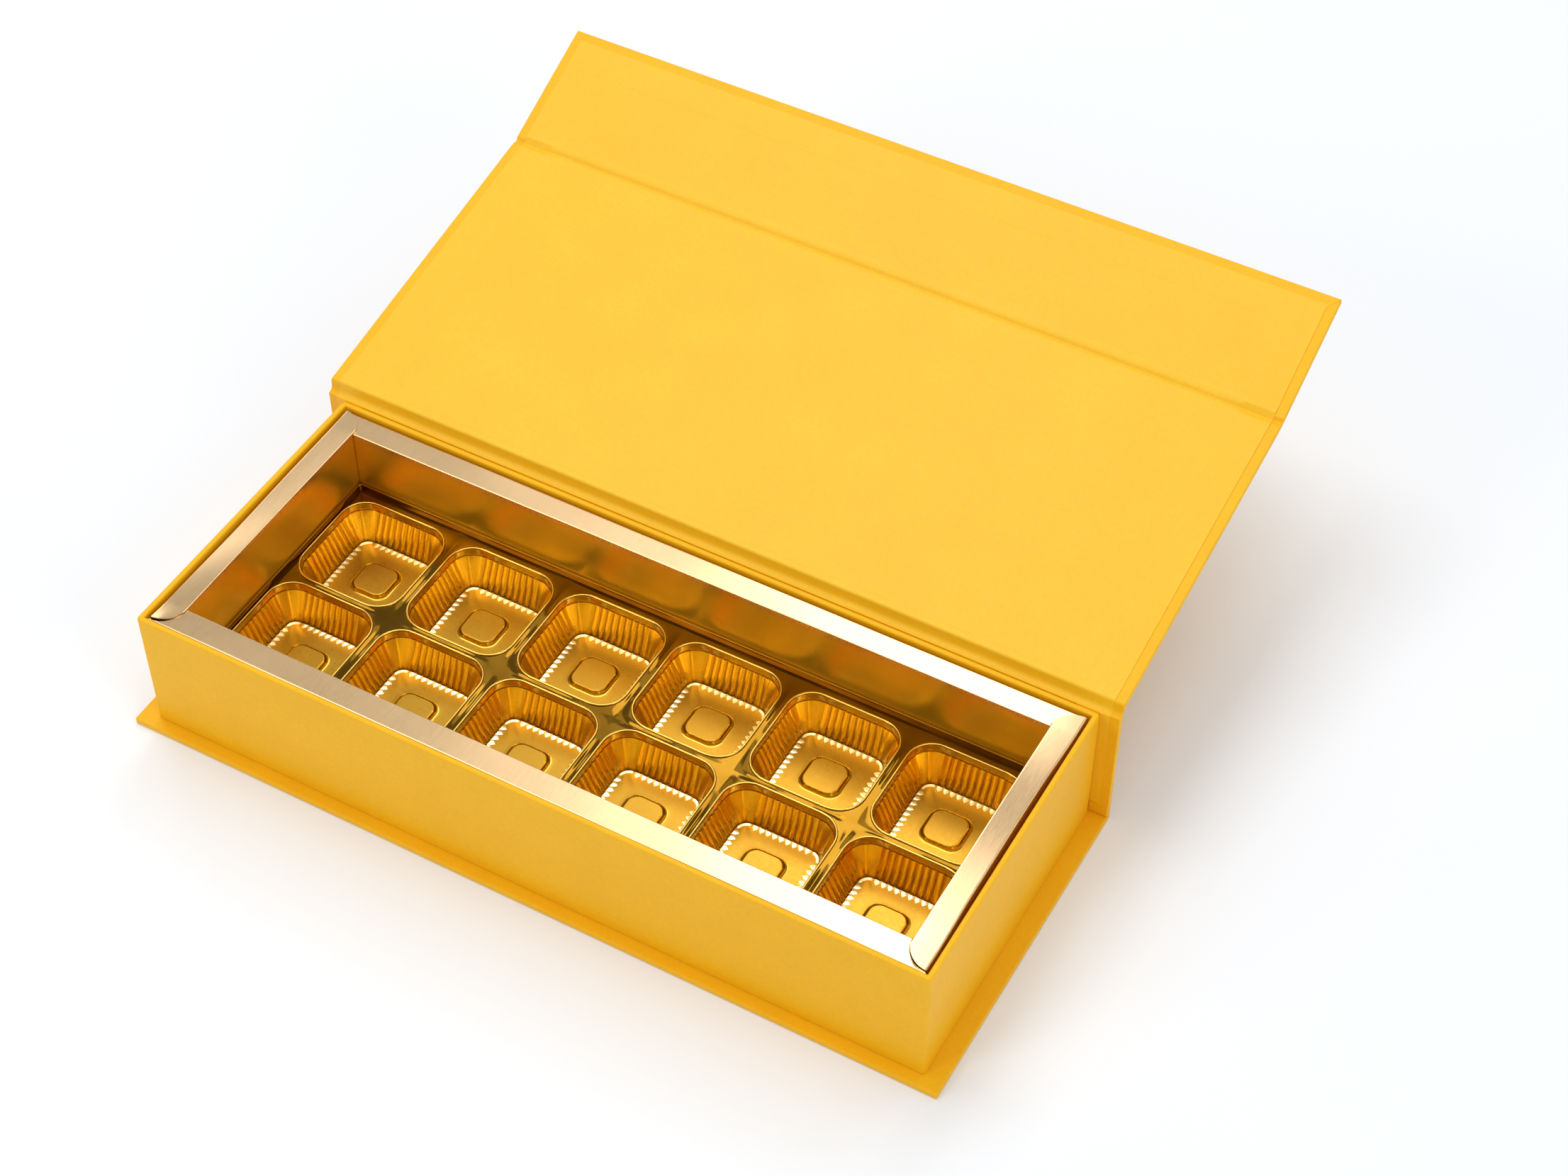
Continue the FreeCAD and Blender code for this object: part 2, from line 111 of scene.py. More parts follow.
def softPath(corners, reaches, steps=6):
    # straight runs whose corners are parabolas that start and end at the given reach from the corner
    corners = np.asarray(corners, float)
    share = np.linspace(0, 1, steps + 1)[:, None]
    runs = [corners[:1]]
    for before, corner, after, reach in zip(corners[:-2], corners[1:-1], corners[2:], reaches):
        first = corner + (before - corner) / np.linalg.norm(before - corner) * reach
        last = corner + (after - corner) / np.linalg.norm(after - corner) * reach
        runs.append((1 - share) ** 2 * first + 2 * share * (1 - share) * corner + share**2 * last)
    return np.vstack(runs + [corners[-1:]])


def evenly(path, count):
    # the same path with points at equal steps of its length
    run = np.r_[0, np.cumsum(np.linalg.norm(np.diff(path, axis=0), axis=1))]
    at = np.linspace(0, run[-1], count)
    return np.stack([np.interp(at, run, path[:, axis]) for axis in range(path.shape[1])], -1)


def roundRect(half, radii, inset, arcSteps=5, sideSteps=2, support=0.4, mostSupport=0.4):
    # a loop of four arcs and four sides; pulled in by inset, an arc keeps its centre until its radius is used up
    # the sides' points start at the support distance from the arcs, or at the largest share of a short side
    inset = np.reshape(inset, (-1, 1, 1, 1)).astype(float)
    radii = np.broadcast_to(np.asarray(radii, float), 4).reshape(1, 4, 1, 1)
    signs = np.array([[1, -1], [1, 1], [-1, 1], [-1, -1]]).reshape(1, 4, 1, 2)
    angle = np.radians([-90, 0, 90, 180])[:, None] + np.linspace(0, np.pi / 2, arcSteps + 1)
    spoke = np.stack([np.cos(angle), np.sin(angle)], -1)[None]
    centre = signs * (np.asarray(half, float) - np.maximum(radii, inset + tiny))
    arcs = centre + np.maximum(radii - inset, tiny) * spoke
    start, stop = arcs[:, :, -1:], np.roll(arcs, -1, axis=1)[:, :, :1]
    length = np.maximum(np.linalg.norm(stop - start, axis=-1, keepdims=True), tiny)
    margin = np.minimum(support / length, mostSupport)
    share = margin + (1 - 2 * margin) * np.linspace(0, 1, sideSteps).reshape(1, 1, -1, 1)
    return np.concatenate([arcs, start + (stop - start) * share], 2).reshape(inset.size, -1, 2)


def spread(*ranges):  # sorted values from several (low, high, count) ranges
    return np.unique(np.round(np.concatenate([np.linspace(*one) for one in ranges]), 5))


def makePiece(name, grids, material, closed=False, sharp=40, marks=None):
    # grids of points (rows, columns, 3) in millimetres become quads; a row loop closes on itself where asked
    places, quads, tones, count = [], [], [], 0
    for number, grid in enumerate(grids):
        rows, columns = grid.shape[:2]
        index = count + np.arange(rows * columns).reshape(rows, columns)
        if closed:
            index = np.concatenate([index, index[:, :1]], 1)
        quads.append(np.stack([index[:-1, :-1], index[:-1, 1:], index[1:, 1:], index[1:, :-1]], -1).reshape(-1, 4))
        places.append(grid.reshape(-1, 3) * mm)
        if marks is not None:
            tones.append(np.broadcast_to(marks[number], (rows, columns)).reshape(-1))
        count += rows * columns
    places, quads = np.concatenate(places), np.concatenate(quads)
    mesh = bpy.data.meshes.new(name)
    mesh.vertices.add(len(places))
    mesh.vertices.foreach_set("co", places.astype(np.float32).ravel())
    mesh.loops.add(quads.size)
    mesh.loops.foreach_set("vertex_index", quads.astype(np.int32).ravel())
    mesh.polygons.add(len(quads))
    mesh.polygons.foreach_set("loop_start", np.arange(0, quads.size, 4, dtype=np.int32))
    if marks is not None:
        tone = mesh.attributes.new("tone", "FLOAT", "POINT")
        tone.data.foreach_set("value", np.concatenate(tones).astype(np.float32))
    mesh.update(calc_edges=True)
    mesh.validate()
    work = bmesh.new()
    work.from_mesh(mesh)
    bmesh.ops.remove_doubles(work, verts=work.verts, dist=weldGap)
    bmesh.ops.dissolve_degenerate(work, edges=work.edges, dist=sliver)
    if closed:
        bmesh.ops.recalc_face_normals(work, faces=work.faces)
    work.to_mesh(mesh)
    work.free()
    mesh.polygons.foreach_set("use_smooth", np.ones(len(mesh.polygons), dtype=bool))
    mesh.set_sharp_from_angle(angle=math.radians(sharp))
    mesh.materials.append(material)
    piece = bpy.data.objects.new(name, mesh)
    bpy.context.scene.collection.objects.link(piece)
    return piece


def standFor(piece, slotName, *nodes):  # the piece's material slot, which is not used, and the nodes that it is shown for
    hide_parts(*nodes)
    return piece


# Materials: each reads Object coordinates, so a pattern keeps its real size

print("materials")


def newFinish(name, **sockets):  # a Principled finish with these socket values, and its Object coordinates
    finish = bpy.data.materials.new(name)
    finish.use_nodes = True
    tree = finish.node_tree
    shader = tree.nodes["Principled BSDF"]
    for socket, value in sockets.items():
        shader.inputs[socket.replace("_", " ")].default_value = value
    coords = tree.nodes.new("ShaderNodeTexCoord")
    return finish, tree, shader, coords.outputs["Object"]


def noise(tree, where, scale, detail=3.0):
    # cloudy values from 0 to 1, mostly near 0.5; the scale is per metre, one for all axes or one for each
    texture = tree.nodes.new("ShaderNodeTexNoise")
    if isinstance(scale, tuple):
        mapping = tree.nodes.new("ShaderNodeMapping")
        mapping.inputs["Scale"].default_value = scale
        tree.links.new(where, mapping.inputs["Vector"])
        where, scale = mapping.outputs["Vector"], 1.0
    texture.inputs["Scale"].default_value = scale
    texture.inputs["Detail"].default_value = detail
    tree.links.new(where, texture.inputs["Vector"])
    return texture.outputs["Fac"]


def between(tree, value, low, high, fromLow=0.3, fromHigh=0.7):  # low to high while a value runs over its own range
    stretch = tree.nodes.new("ShaderNodeMapRange")
    for socket, number in (("From Min", fromLow), ("From Max", fromHigh), ("To Min", low), ("To Max", high)):
        stretch.inputs[socket].default_value = number
    tree.links.new(value, stretch.inputs["Value"])
    return stretch.outputs["Result"]


def product(tree, first, second):  # first times second
    times = tree.nodes.new("ShaderNodeMath")
    times.operation = "MULTIPLY"
    tree.links.new(first, times.inputs[0])
    tree.links.new(second, times.inputs[1])
    return times.outputs[0]


def blendColour(tree, factor, low, high):  # from low to high by the factor; each is a colour or another blend
    mix = tree.nodes.new("ShaderNodeMix")
    mix.data_type = "RGBA"
    for socket, colour in ((mix.inputs[6], low), (mix.inputs[7], high)):
        if isinstance(colour, tuple):
            socket.default_value = (*colour, 1)
        else:
            tree.links.new(colour, socket)
    tree.links.new(factor, mix.inputs[0])
    return mix.outputs[2]


def raised(tree, shader, height, strength, distance):  # relief from a height, with its depth in millimetres
    bump = tree.nodes.new("ShaderNodeBump")
    bump.inputs["Strength"].default_value = strength
    bump.inputs["Distance"].default_value = distance * mm
    tree.links.new(height, bump.inputs["Height"])
    tree.links.new(bump.outputs["Normal"], shader.inputs["Normal"])


paperMake = {  # what all papers share: the noises' details, how far fibres and specks show, and the gloss's spread
    "grainDetail": 4.0, "mottleDetail": 5.0, "fibreDetail": 3.0, "speckDetail": 1.0,
    "fibreShare": 0.45, "speckFrom": 0.74, "speckFull": 0.80, "roughSpread": 0.06,
}


def paperFinish(name, look):
    # mottled tint, tiny specks and a felt-fine grain
    finish, tree, shader, where = newFinish(name, Specular_IOR_Level=look["specular"])
    grain, mottle, fibre, speck = [
        noise(tree, where, look[layer + "Scale"], paperMake[layer + "Detail"])
        for layer in ("grain", "mottle", "fibre", "speck")
    ]
    tint = blendColour(tree, between(tree, mottle, 0, 1), look["deep"], look["light"])
    tint = blendColour(tree, between(tree, fibre, 0, paperMake["fibreShare"]), tint, look["speck"])
    spotted = between(tree, speck, 0, 1, paperMake["speckFrom"], paperMake["speckFull"])
    tree.links.new(blendColour(tree, spotted, tint, look["speck"]), shader.inputs["Base Color"])
    low, high = look["rough"] - paperMake["roughSpread"], look["rough"] + paperMake["roughSpread"]
    tree.links.new(between(tree, grain, low, high), shader.inputs["Roughness"])
    raised(tree, shader, grain, look["bump"], look["grainHeight"])
    return finish


coverPaper = paperFinish("yellow_cover_paper", {
    "deep": (0.910, 0.480, 0.004), "light": (0.950, 0.510, 0.006), "speck": (0.85, 0.425, 0.003),
    "specular": 0.26, "rough": 0.48, "bump": 0.16, "grainHeight": 0.10,
    "grainScale": 2300.0, "mottleScale": 60.0, "speckScale": 2400.0, "fibreScale": 900.0,
})
linerPaper = paperFinish("yellow_liner_paper", {
    "deep": (0.910, 0.514, 0.005), "light": (0.950, 0.544, 0.009), "speck": (0.86, 0.460, 0.004),
    "specular": 0.42, "rough": 0.48, "bump": 0.14, "grainHeight": 0.10,
    "grainScale": 2100.0, "mottleScale": 45.0, "speckScale": 2200.0, "fibreScale": 820.0,
})
greyBoard = paperFinish("greyboard", {
    "deep": (0.17, 0.15, 0.125), "light": (0.27, 0.245, 0.21), "speck": (0.10, 0.09, 0.08),
    "specular": 0.2, "rough": 0.85, "bump": 0.5, "grainHeight": 0.15,
    "grainScale": 1500.0, "mottleScale": 120.0, "speckScale": 480.0, "fibreScale": 300.0,
})
stayTape = paperFinish("kraft_stay_tape", {
    "deep": (0.40, 0.30, 0.19), "light": (0.50, 0.39, 0.26), "speck": (0.30, 0.22, 0.13),
    "specular": 0.3, "rough": 0.7, "bump": 0.3, "grainHeight": 0.08,
    "grainScale": 1900.0, "mottleScale": 90.0, "speckScale": 600.0, "fibreScale": 400.0,
})

discMake = {"scratchDetail": 4.0, "scratchDepth": 0.05, "roughSpread": 0.08}  # what both kinds of disc share


def metalFinish(name, look):
    # turned or plated disc: fine scratches in the tint, the gloss and the surface
    finish, tree, shader, where = newFinish(name, Metallic=1.0)
    scratch = noise(tree, where, look["scratchScale"], discMake["scratchDetail"])
    tint = blendColour(tree, between(tree, scratch, 0, 1), look["deep"], look["light"])
    tree.links.new(tint, shader.inputs["Base Color"])
    low, high = look["rough"] - discMake["roughSpread"], look["rough"] + discMake["roughSpread"]
    tree.links.new(between(tree, scratch, low, high), shader.inputs["Roughness"])
    raised(tree, shader, scratch, look["bump"], discMake["scratchDepth"])
    return finish


platedDisc = metalFinish("nickel_plate", {
    "deep": (0.62, 0.60, 0.57), "light": (0.74, 0.72, 0.69), "rough": 0.2,
    "scratchScale": (900.0, 900.0, 120.0), "bump": 0.1,
})
steelDisc = metalFinish("bright_steel", {
    "deep": (0.46, 0.46, 0.47), "light": (0.60, 0.60, 0.61), "rough": 0.34,
    "scratchScale": (120.0, 900.0, 900.0), "bump": 0.2,
})


def toneOf(tree):  # the tone that a piece's points carry
    node = tree.nodes.new("ShaderNodeAttribute")
    node.attribute_name = "tone"
    return node.outputs["Fac"]


def unevenGloss(tree, shader, gloss, pattern, amount):  # roughness = gloss times 1, more or less by the pattern
    factor = between(tree, pattern, 1 - amount, 1 + amount)
    tree.links.new(product(tree, gloss, factor), shader.inputs["Roughness"])


goldCardLook = {
    "rimDeep": (0.728, 0.498, 0.264), "rimLight": (0.782, 0.540, 0.292),
    # the walls are the same card as the rims; their deeper, stronger gold is painted reflection from the walls and cups
    # around them
    "wallReflectDeep": (0.88, 0.530, 0.024), "wallReflectLight": (0.97, 0.595, 0.034),
    "rimRough": 0.21, "wallRough": 0.31, "roughSpread": 0.05, "wallMetal": 0.85,
    "brushScale": (3600.0, 240.0, 900.0), "cloudScale": 55.0, "bump": 0.004, "brushDepth": 0.06,
}


def goldCardFinish(look):
    # metallised card with a brushed grain that runs across the long rims; tone 0 is the rims, tone 1 the walls, in a
    # deeper gold that paints reflection
    finish, tree, shader, where = newFinish("brushed_gold_card")
    brush = noise(tree, where, look["brushScale"])
    cloud = noise(tree, where, look["cloudScale"])
    inside = toneOf(tree)
    rim = blendColour(tree, between(tree, brush, 0, 1), look["rimDeep"], look["rimLight"])
    wall = blendColour(tree, between(tree, cloud, 0, 1), look["wallReflectDeep"], look["wallReflectLight"])
    tree.links.new(blendColour(tree, inside, rim, wall), shader.inputs["Base Color"])
    tree.links.new(between(tree, inside, 1.0, look["wallMetal"], 0, 1), shader.inputs["Metallic"])
    gloss = between(tree, inside, look["rimRough"], look["wallRough"], 0, 1)
    unevenGloss(tree, shader, gloss, brush, look["roughSpread"])
    raised(tree, shader, brush, look["bump"], look["brushDepth"])
    return finish


goldCard = goldCardFinish(goldCardLook)

goldFilmLook = {  # per tone: 0 teeth, 1 satin floor, 2 wall, 3 mirror-like web, 4 shaded grooves, 5 bead; the tints paint light
    # one film: 0 is a painted highlight, 1 and 2 are darker and brighter for the light on floors and walls, 3 is dark
    # for painted reflections, 4 is painted shade, 5 is a paler painted highlight
    "tints": [
        (1.0, 0.88, 0.58), (0.455, 0.238, 0.023), (0.97, 0.625, 0.080),
        (0.180, 0.084, 0.006), (0.36, 0.17, 0.010), (0.82, 0.54, 0.11),
    ],
    "roughs": [0.28, 0.30, 0.17, 0.075, 0.26, 0.22], "roughSpread": 0.1, "mistScale": 900.0, "mistDetail": 2.0,
    "rippleScale": 120.0, "rippleDetail": 1.0, "cloudyReflectionTint": (0.60, 0.36, 0.05), "cloudyReflectionShare": 0.10,
    "bump": 0.025, "rippleDepth": 0.25,
}


def stepped(tree, value, colours):  # colours at equal steps of a value from 0 to 1
    node = tree.nodes.new("ShaderNodeValToRGB")
    stops = node.color_ramp.elements
    for number in range(1, len(colours) - 1):
        stops.new(number / (len(colours) - 1))
    for place, colour in zip(stops, colours):
        place.color = (*colour, 1)
    tree.links.new(value, node.inputs["Fac"])
    return node.outputs["Color"]


def goldFilmFinish(look):
    # mirror-bright plastic: tint and gloss by tone, the tints painting its highlights, shade and reflections; a slow
    # ripple and a fine mist in the gloss
    finish, tree, shader, where = newFinish("gold_vacuum_film", Metallic=1.0)
    tone = between(tree, toneOf(tree), 0, 1, 0, len(look["tints"]) - 1)
    ripple = noise(tree, where, look["rippleScale"], look["rippleDetail"])
    mist = noise(tree, where, look["mistScale"], look["mistDetail"])
    # the slow ripple blends up to a tenth of a paler gold into the tint: painted cloudy reflections
    paintedReflectionPatch = between(tree, ripple, 0, look["cloudyReflectionShare"])
    fade = blendColour(tree, paintedReflectionPatch, stepped(tree, tone, look["tints"]), look["cloudyReflectionTint"])
    tree.links.new(fade, shader.inputs["Base Color"])
    gloss = stepped(tree, tone, [(rough, rough, rough) for rough in look["roughs"]])
    unevenGloss(tree, shader, gloss, mist, look["roughSpread"])
    raised(tree, shader, ripple, look["bump"], look["rippleDepth"])
    return finish


goldFilm = goldFilmFinish(goldFilmLook)

# Case panels: a paper-covered slab with soft edges for each board

print("case panels")
slabLook = {
    "edgeRound": 0.28, "foldRound": 0.04, "foldSoft": 0.3, "lidSoft": 0.5, "past": 0.05, "support": 0.4,
    "wideGap": 2.2, "foldGap": 0.6,
}
wideGap, foldGap = slabLook["wideGap"], slabLook["foldGap"]
flapReach = 43.55
lidReach = np.linalg.norm(flapFold - lidFold)
spineStop = spineTop - panelFold["spine"][1]
panelRun = {  # where each board starts and stops along s, and which ends are folds
    "base": (baseLow[1] - lidFold[0], -foldGap, (False, True)),
    "spine": (wideGap, spineStop, (True, True)),
    "lid": (foldGap, lidReach - foldGap, (True, True)),
    "flap": (wideGap, flapReach, (True, False)),
}
quarterTurn = np.linspace(0, np.pi / 2, 6)  # a soft edge's angles


def slabLoops(low, high, length, soft, radii):
    # a rounded section carried along a length; near the ends it is pulled in on a quarter circle, then closed
    half, middle = (high - low) / 2, (high + low) / 2
    fromEnd = np.r_[0, soft * (1 - np.cos(quarterTurn)), soft + slabLook["support"]]
    inset = np.r_[half.min() - 2 * tiny, soft * (1 - np.sin(quarterTurn)), 0]
    along = np.r_[fromEnd - length, length - fromEnd[::-1]]
    return along[:, None], roundRect(half, radii, np.r_[inset, inset[::-1]], sideSteps=3) + middle


def panelGrid(name):
    # the covered board's section, crisp at the outer side of a fold and soft elsewhere, carried along X
    start, stop, folds = panelRun[name]
    soft, crisp, past = slabLook["edgeRound"], slabLook["foldRound"], slabLook["past"]
    foldSoft = slabLook["foldSoft"]
    first = slabLook["lidSoft"] if name == "lid" else foldSoft if folds[0] else soft
    radii = [crisp if folds[1] else soft, foldSoft if folds[1] else soft, first, crisp if folds[0] else soft]
    low, high = np.array([start - past * folds[0], under]), np.array([stop + past * folds[1], topH])
    x, loop = slabLoops(low, high, caseHalf, soft, radii)
    return withX(x, onPanel(name, loop[..., 0], loop[..., 1]))


tuckLook = {
    "edge": 0.3, "bury": 0.02, "taper": 0.03, "thick": {"flap": 0.10, "base": 0.04, "spine": 0.10},
    "flapWide": 2.9, "flapNear": 1.8, "flapFar": 4.4,  # the flap's mitre, from the outer corner
    "baseWide": 4.9, "baseFar": 3.3, "baseNarrow": 3.8, "baseFarther": 4.1,  # the base's, likewise
    "seamWide": 5.6, "seamFoot": 2.6, "seamTop": 6.6, "seamEnd": 6.9,  # the seam at the spine's foot
}


def tuckOutlines():  # (x, s) on the right-hand side: mitred corners of the flap and the base, and the spine's seam
    look = tuckLook
    side, flapEnd, baseEnd = caseHalf - look["edge"], flapReach - look["edge"], panelRun["base"][0] + look["edge"]
    flapIn, seamIn = side - look["flapWide"], side - look["seamWide"]
    return {
        "flap": [(side, flapEnd), (flapIn, flapEnd - look["flapFar"]), (flapIn, flapEnd - look["flapNear"])],
        "base": [
            (side, baseEnd), (side - look["baseWide"], baseEnd + look["baseFar"]),
            (side - look["baseNarrow"], baseEnd + look["baseFarther"]),
        ],
        "spine": [
            (side, look["seamFoot"]), (seamIn, look["seamFoot"]), (seamIn, look["seamTop"]), (side, look["seamEnd"]),
        ],
    }


def tuckLoops(name, outline):
    # a flat tuck of paper on a panel's inner face: its outline, the same a sheet higher, and its middle
    thick, taper = tuckLook["thick"][name], tuckLook["taper"]
    middle = np.broadcast_to(outline.mean(0), outline.shape)
    spots = np.stack([outline, outline * (1 - taper) + middle * taper, middle])
    heights = topH + np.array([-tuckLook["bury"], thick, thick])[:, None]
    return withX(spots[..., 0], onPanel(name, spots[..., 1], heights + 0 * spots[..., 1]))


lidBoardLook = {"endRound": 0.3, "crisp": 0.03, "flapSide": 0.25, "underPaper": 0.1}


def lidBoardGrid():  # the lid's board, rounded at its fold like the paper over it
    look = lidBoardLook
    radii = [look["crisp"], look["flapSide"], slabLook["lidSoft"] - look["underPaper"], look["crisp"]]
    low, high = np.array([panelRun["lid"][0], 0.0]), np.array([panelRun["lid"][1], paper["board"]])
    x, loop = slabLoops(low, high, caseHalf - paper["thickness"], look["endRound"], radii)
    return withX(x, onPanel("lid", loop[..., 0], loop[..., 1]))


tucks = tuckOutlines()
for name, body in (("base", "base"), ("spine", "base"), ("lid", "lid"), ("flap", "flap")):
    folded = [tuckLoops(name, np.array(tucks[name]) * (sign, 1)) for sign in (1, -1) if name in tucks]
    slab = makePiece(f"{name}_cover", [panelGrid(name)] + folded, coverPaper, closed=True)
    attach(standFor(slab, "yellow_paper", f"{name}_cover_paper"), body)
lidBoard = makePiece("lid_panel_board", [lidBoardGrid()], greyBoard, closed=True)
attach(standFor(lidBoard, "greyboard", "lid_board"), "lid")

# Liner sheets: a thin sheet over each inner face, with the edge of the turned-in cover showing through

print("liners")
linerLook = {
    "rise": 0.06, "step": 0.15, "stepRun": 0.7, "endShare": 0.3, "stepSpan": 1, "bury": 0.02,
    "wave": 0.035, "waves": [(17.0, 29.0, 0.0), (41.0, -13.0, 1.0), (60.0, 9.0, 2.0)],  # by X, by s, and phase
    "calmEdge": 4.0, "calmRun": 12.0, "calmEnds": 10.0, "columns": 70, "rows": 40, "stepPoints": 9,
}
linerHalf = caseHalf - paper["margin"]
linerTop = topH + paper["thickness"] + linerLook["rise"]
turnInEdge = caseHalf - paper["ridge"]


def linerColumns(span):  # X over the sheet, closer by the turn-ins' edges, and twice at its own cut edges
    closer = [(side * turnInEdge - span, side * turnInEdge + span, linerLook["stepPoints"]) for side in (-1, 1)]
    x = spread((-linerHalf, linerHalf, linerLook["columns"]), *closer)
    return np.r_[x[0], x, x[-1]]


def linerHeight(x, s, freeEnd):
    # level over the turn-ins, a step lower inside them, and a faint waviness from three sines
    fromSide, fromEnd = caseHalf - np.abs(x), freeEnd - s
    inSide, inEnd = [smooth((far - paper["ridge"]) / linerLook["stepRun"] + 0.5) for far in (fromSide, fromEnd)]
    drop = linerLook["step"] * np.minimum(inSide, 1 - linerLook["endShare"] + linerLook["endShare"] * inEnd)
    wave = sum(np.sin(x / byX + s / byS + phase) for byX, byS, phase in linerLook["waves"])
    calm = smooth((np.minimum(fromSide, fromEnd) - linerLook["calmEdge"]) / linerLook["calmRun"])
    calm = calm * smooth((s - s.min()) / linerLook["calmEnds"]) * smooth((s.max() - s) / linerLook["calmEnds"])
    return linerTop - drop + linerLook["wave"] * wave / len(linerLook["waves"]) * calm


def linerGrid(name, start, stop, freeEnd=farOff, dropEnds=(False, False)):
    # the sheet on its panel; at cut edges it goes down to the cover by its own thickness
    span, stepAt = linerLook["stepSpan"], freeEnd - paper["ridge"]
    x = linerColumns(span)
    closer = (min(stepAt, stop) - span, min(stepAt + span, stop), linerLook["stepPoints"])
    s = spread((start, stop, linerLook["rows"]), closer)
    s = np.r_[[s[0]] * dropEnds[0], s, [s[-1]] * dropEnds[1]]
    height = linerHeight(x[None, :], s[:, None], freeEnd)
    low = topH - linerLook["bury"]
    height[:, [0, -1]] = low
    for end, drops in zip((0, -1), dropEnds):
        if drops:
            height[end] = low
    return withX(x[None, :], onPanel(name, s[:, None], height))


creaseLook = {
    "lidTake": 3.2, "flapTakeLid": 3.0, "flapTake": 2.8, "spineTake": 0.3, "spineFoot": 7.0,  # where the liners end
    "dip": 0.16, "line": 0.32, "endDip": 0.3, "endRise": 0.14, "turnDip": 0.75, "turnRun": 1.6, "stepSpan": 2,
    "short": 0.06, "crown": 0.05, "draw": 0.14, "columns": 24,  # the cover strip's ends
}
lidStart, lidStop = creaseLook["lidTake"], panelRun["lid"][1] - creaseLook["flapTakeLid"]
flapStart, flapStop = wideGap + creaseLook["flapTake"], flapReach - paper["margin"]
spineLinerStop = spineStop - creaseLook["spineTake"]
linerRuns = {
    "spine": ("base", linerGrid("spine", creaseLook["spineFoot"], spineLinerStop, dropEnds=(True, False))),
    "lid": ("lid", linerGrid("lid", lidStart, lidStop)),
    "flap": ("flap", linerGrid("flap", flapStart, flapStop, flapReach, (False, True))),
}
for name, (body, grid) in linerRuns.items():
    sheet = makePiece(f"{name}_liner", [grid], linerPaper)
    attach(standFor(sheet, "liner_paper", f"{name}_liner_paper"), body)

# Creases: the cover strip outside and the liner inside, each shaped round its fold

print("creases")


def coverStrip(outside, inside):
    # the strip between an outer and an inner path, carried along X; at its ends it draws in to the line halfway
    middle = np.vstack([(outside + inside) / 2, ((outside + inside) / 2)[::-1]])
    loop = np.vstack([outside, inside[::-1]])
    soft, support, count = slabLook["edgeRound"], slabLook["support"], creaseLook["columns"]
    full = np.r_[0, 1 - creaseLook["draw"] + creaseLook["draw"] * np.sin(quarterTurn)]
    fromEnd = np.r_[-creaseLook["crown"], soft * (1 - np.cos(quarterTurn))]
    reach = caseHalf - creaseLook["short"]
    plainX = np.linspace(soft + support - reach, reach - soft - support, count)
    x = np.r_[fromEnd - reach, plainX, reach - fromEnd[::-1]]
    full = np.r_[full, np.ones(count), full[::-1]]
    return withX(x[:, None], middle + (loop - middle) * full[:, None, None])


def linerStrip(path, stepAt, relief=None):
    # the path carried along X, a step lower between the turn-ins
    # relief: shares of the crease line, of the dip towards it and of a rise beside it; the last two only over turn-ins
    x = linerColumns(creaseLook["stepSpan"])
    ahead = np.gradient(path, axis=0)
    across = np.stack([-ahead[:, 1], ahead[:, 0]], -1) / np.linalg.norm(ahead, axis=1)[:, None] * stepAt[:, None]
    sink = linerLook["step"] * (1 - smooth((np.abs(x) - turnInEdge) / linerLook["stepRun"] + 0.5))
    grid = path[None] - sink[:, None, None] * across[None]
    if relief:
        lineAt, dipAt, riseAt = relief
        grid[:, :, 1] -= creaseLook["line"] * lineAt[None]
        overTurn = smooth((np.abs(x) - turnInEdge) / creaseLook["turnRun"] + 0.5)[:, None]
        grid[:, :, 1] += overTurn * (creaseLook["endRise"] * riseAt - creaseLook["endDip"] * dipAt)[None]
    grid[[0, -1], :, 1] -= paper["thickness"] + linerLook["rise"]
    return withX(x[:, None], grid)


pathLook = {  # the paths across the folds: how far each corner's rounding reaches, small steps, and points
    "baseOuter": 0.45, "baseInner": 0.2, "lidOuter": 0.25, "flapOuter": 0.4,
    "lidReaches": [0.25, 1.5, 0.8], "linerReaches": [0.9, 0.5, 0.9], "turnReaches": [0.15, 0.5, 0.15],
    "lidSteps": 10, "flapSteps": 8, "ledgeRise": 0.14, "wallGap": 0.02, "riserGap": 0.2, "lidLip": 0.1,
    "flapLip": 0.2, "foldAt": 0.75, "turnDrop": 0.04, "bury": 0.06, "lidTurnTake": 1.5, "flapTurnTake": 0.6,
    "basePoints": 24, "lidPoints": 110, "lidLinerPoints": 130, "flapPoints": 48, "flapLinerPoints": 72,
}
ledge = panelFold["spine"][1] + spineStop + pathLook["ledgeRise"]
troughAt = lidReach + pathLook["foldAt"]


def baseBend(height, reach):  # along the base, round its back corner and up the spine, at one height off both
    corners = [onPanel("base", -foldGap, height), onPanel("base", -height, height), onPanel("spine", wideGap, height)]
    return evenly(softPath(corners, [reach]), pathLook["basePoints"])


def lidInside(height, drop, stop, bury=0.0):
    # up the spine's inner face, over its top, up the riser past the fold and onto the lid
    return softPath([
        onPanel("spine", spineLinerStop, height), (trayHigh[1] + pathLook["wallGap"] + drop, ledge - drop),
        (lidFold[0] - pathLook["riserGap"] + drop, ledge - drop),
        onPanel("lid", foldGap - pathLook["lidLip"], height + bury / 2), onPanel("lid", stop, height - bury),
    ], pathLook["lidReaches"], pathLook["lidSteps"])


def flapInside(height, sink, start, stop, reaches, bury=0.0):
    # off the lid, down into a shallow trough over the fold, and up onto the flap
    lip = pathLook["flapLip"]
    return softPath([
        onPanel("lid", start, height - bury), onPanel("lid", panelRun["lid"][1] - lip, height + bury / 2),
        onPanel("lid", troughAt, height - sink), onPanel("flap", wideGap + lip, height + bury / 2),
        onPanel("flap", stop, height - bury),
    ], reaches, pathLook["flapSteps"])


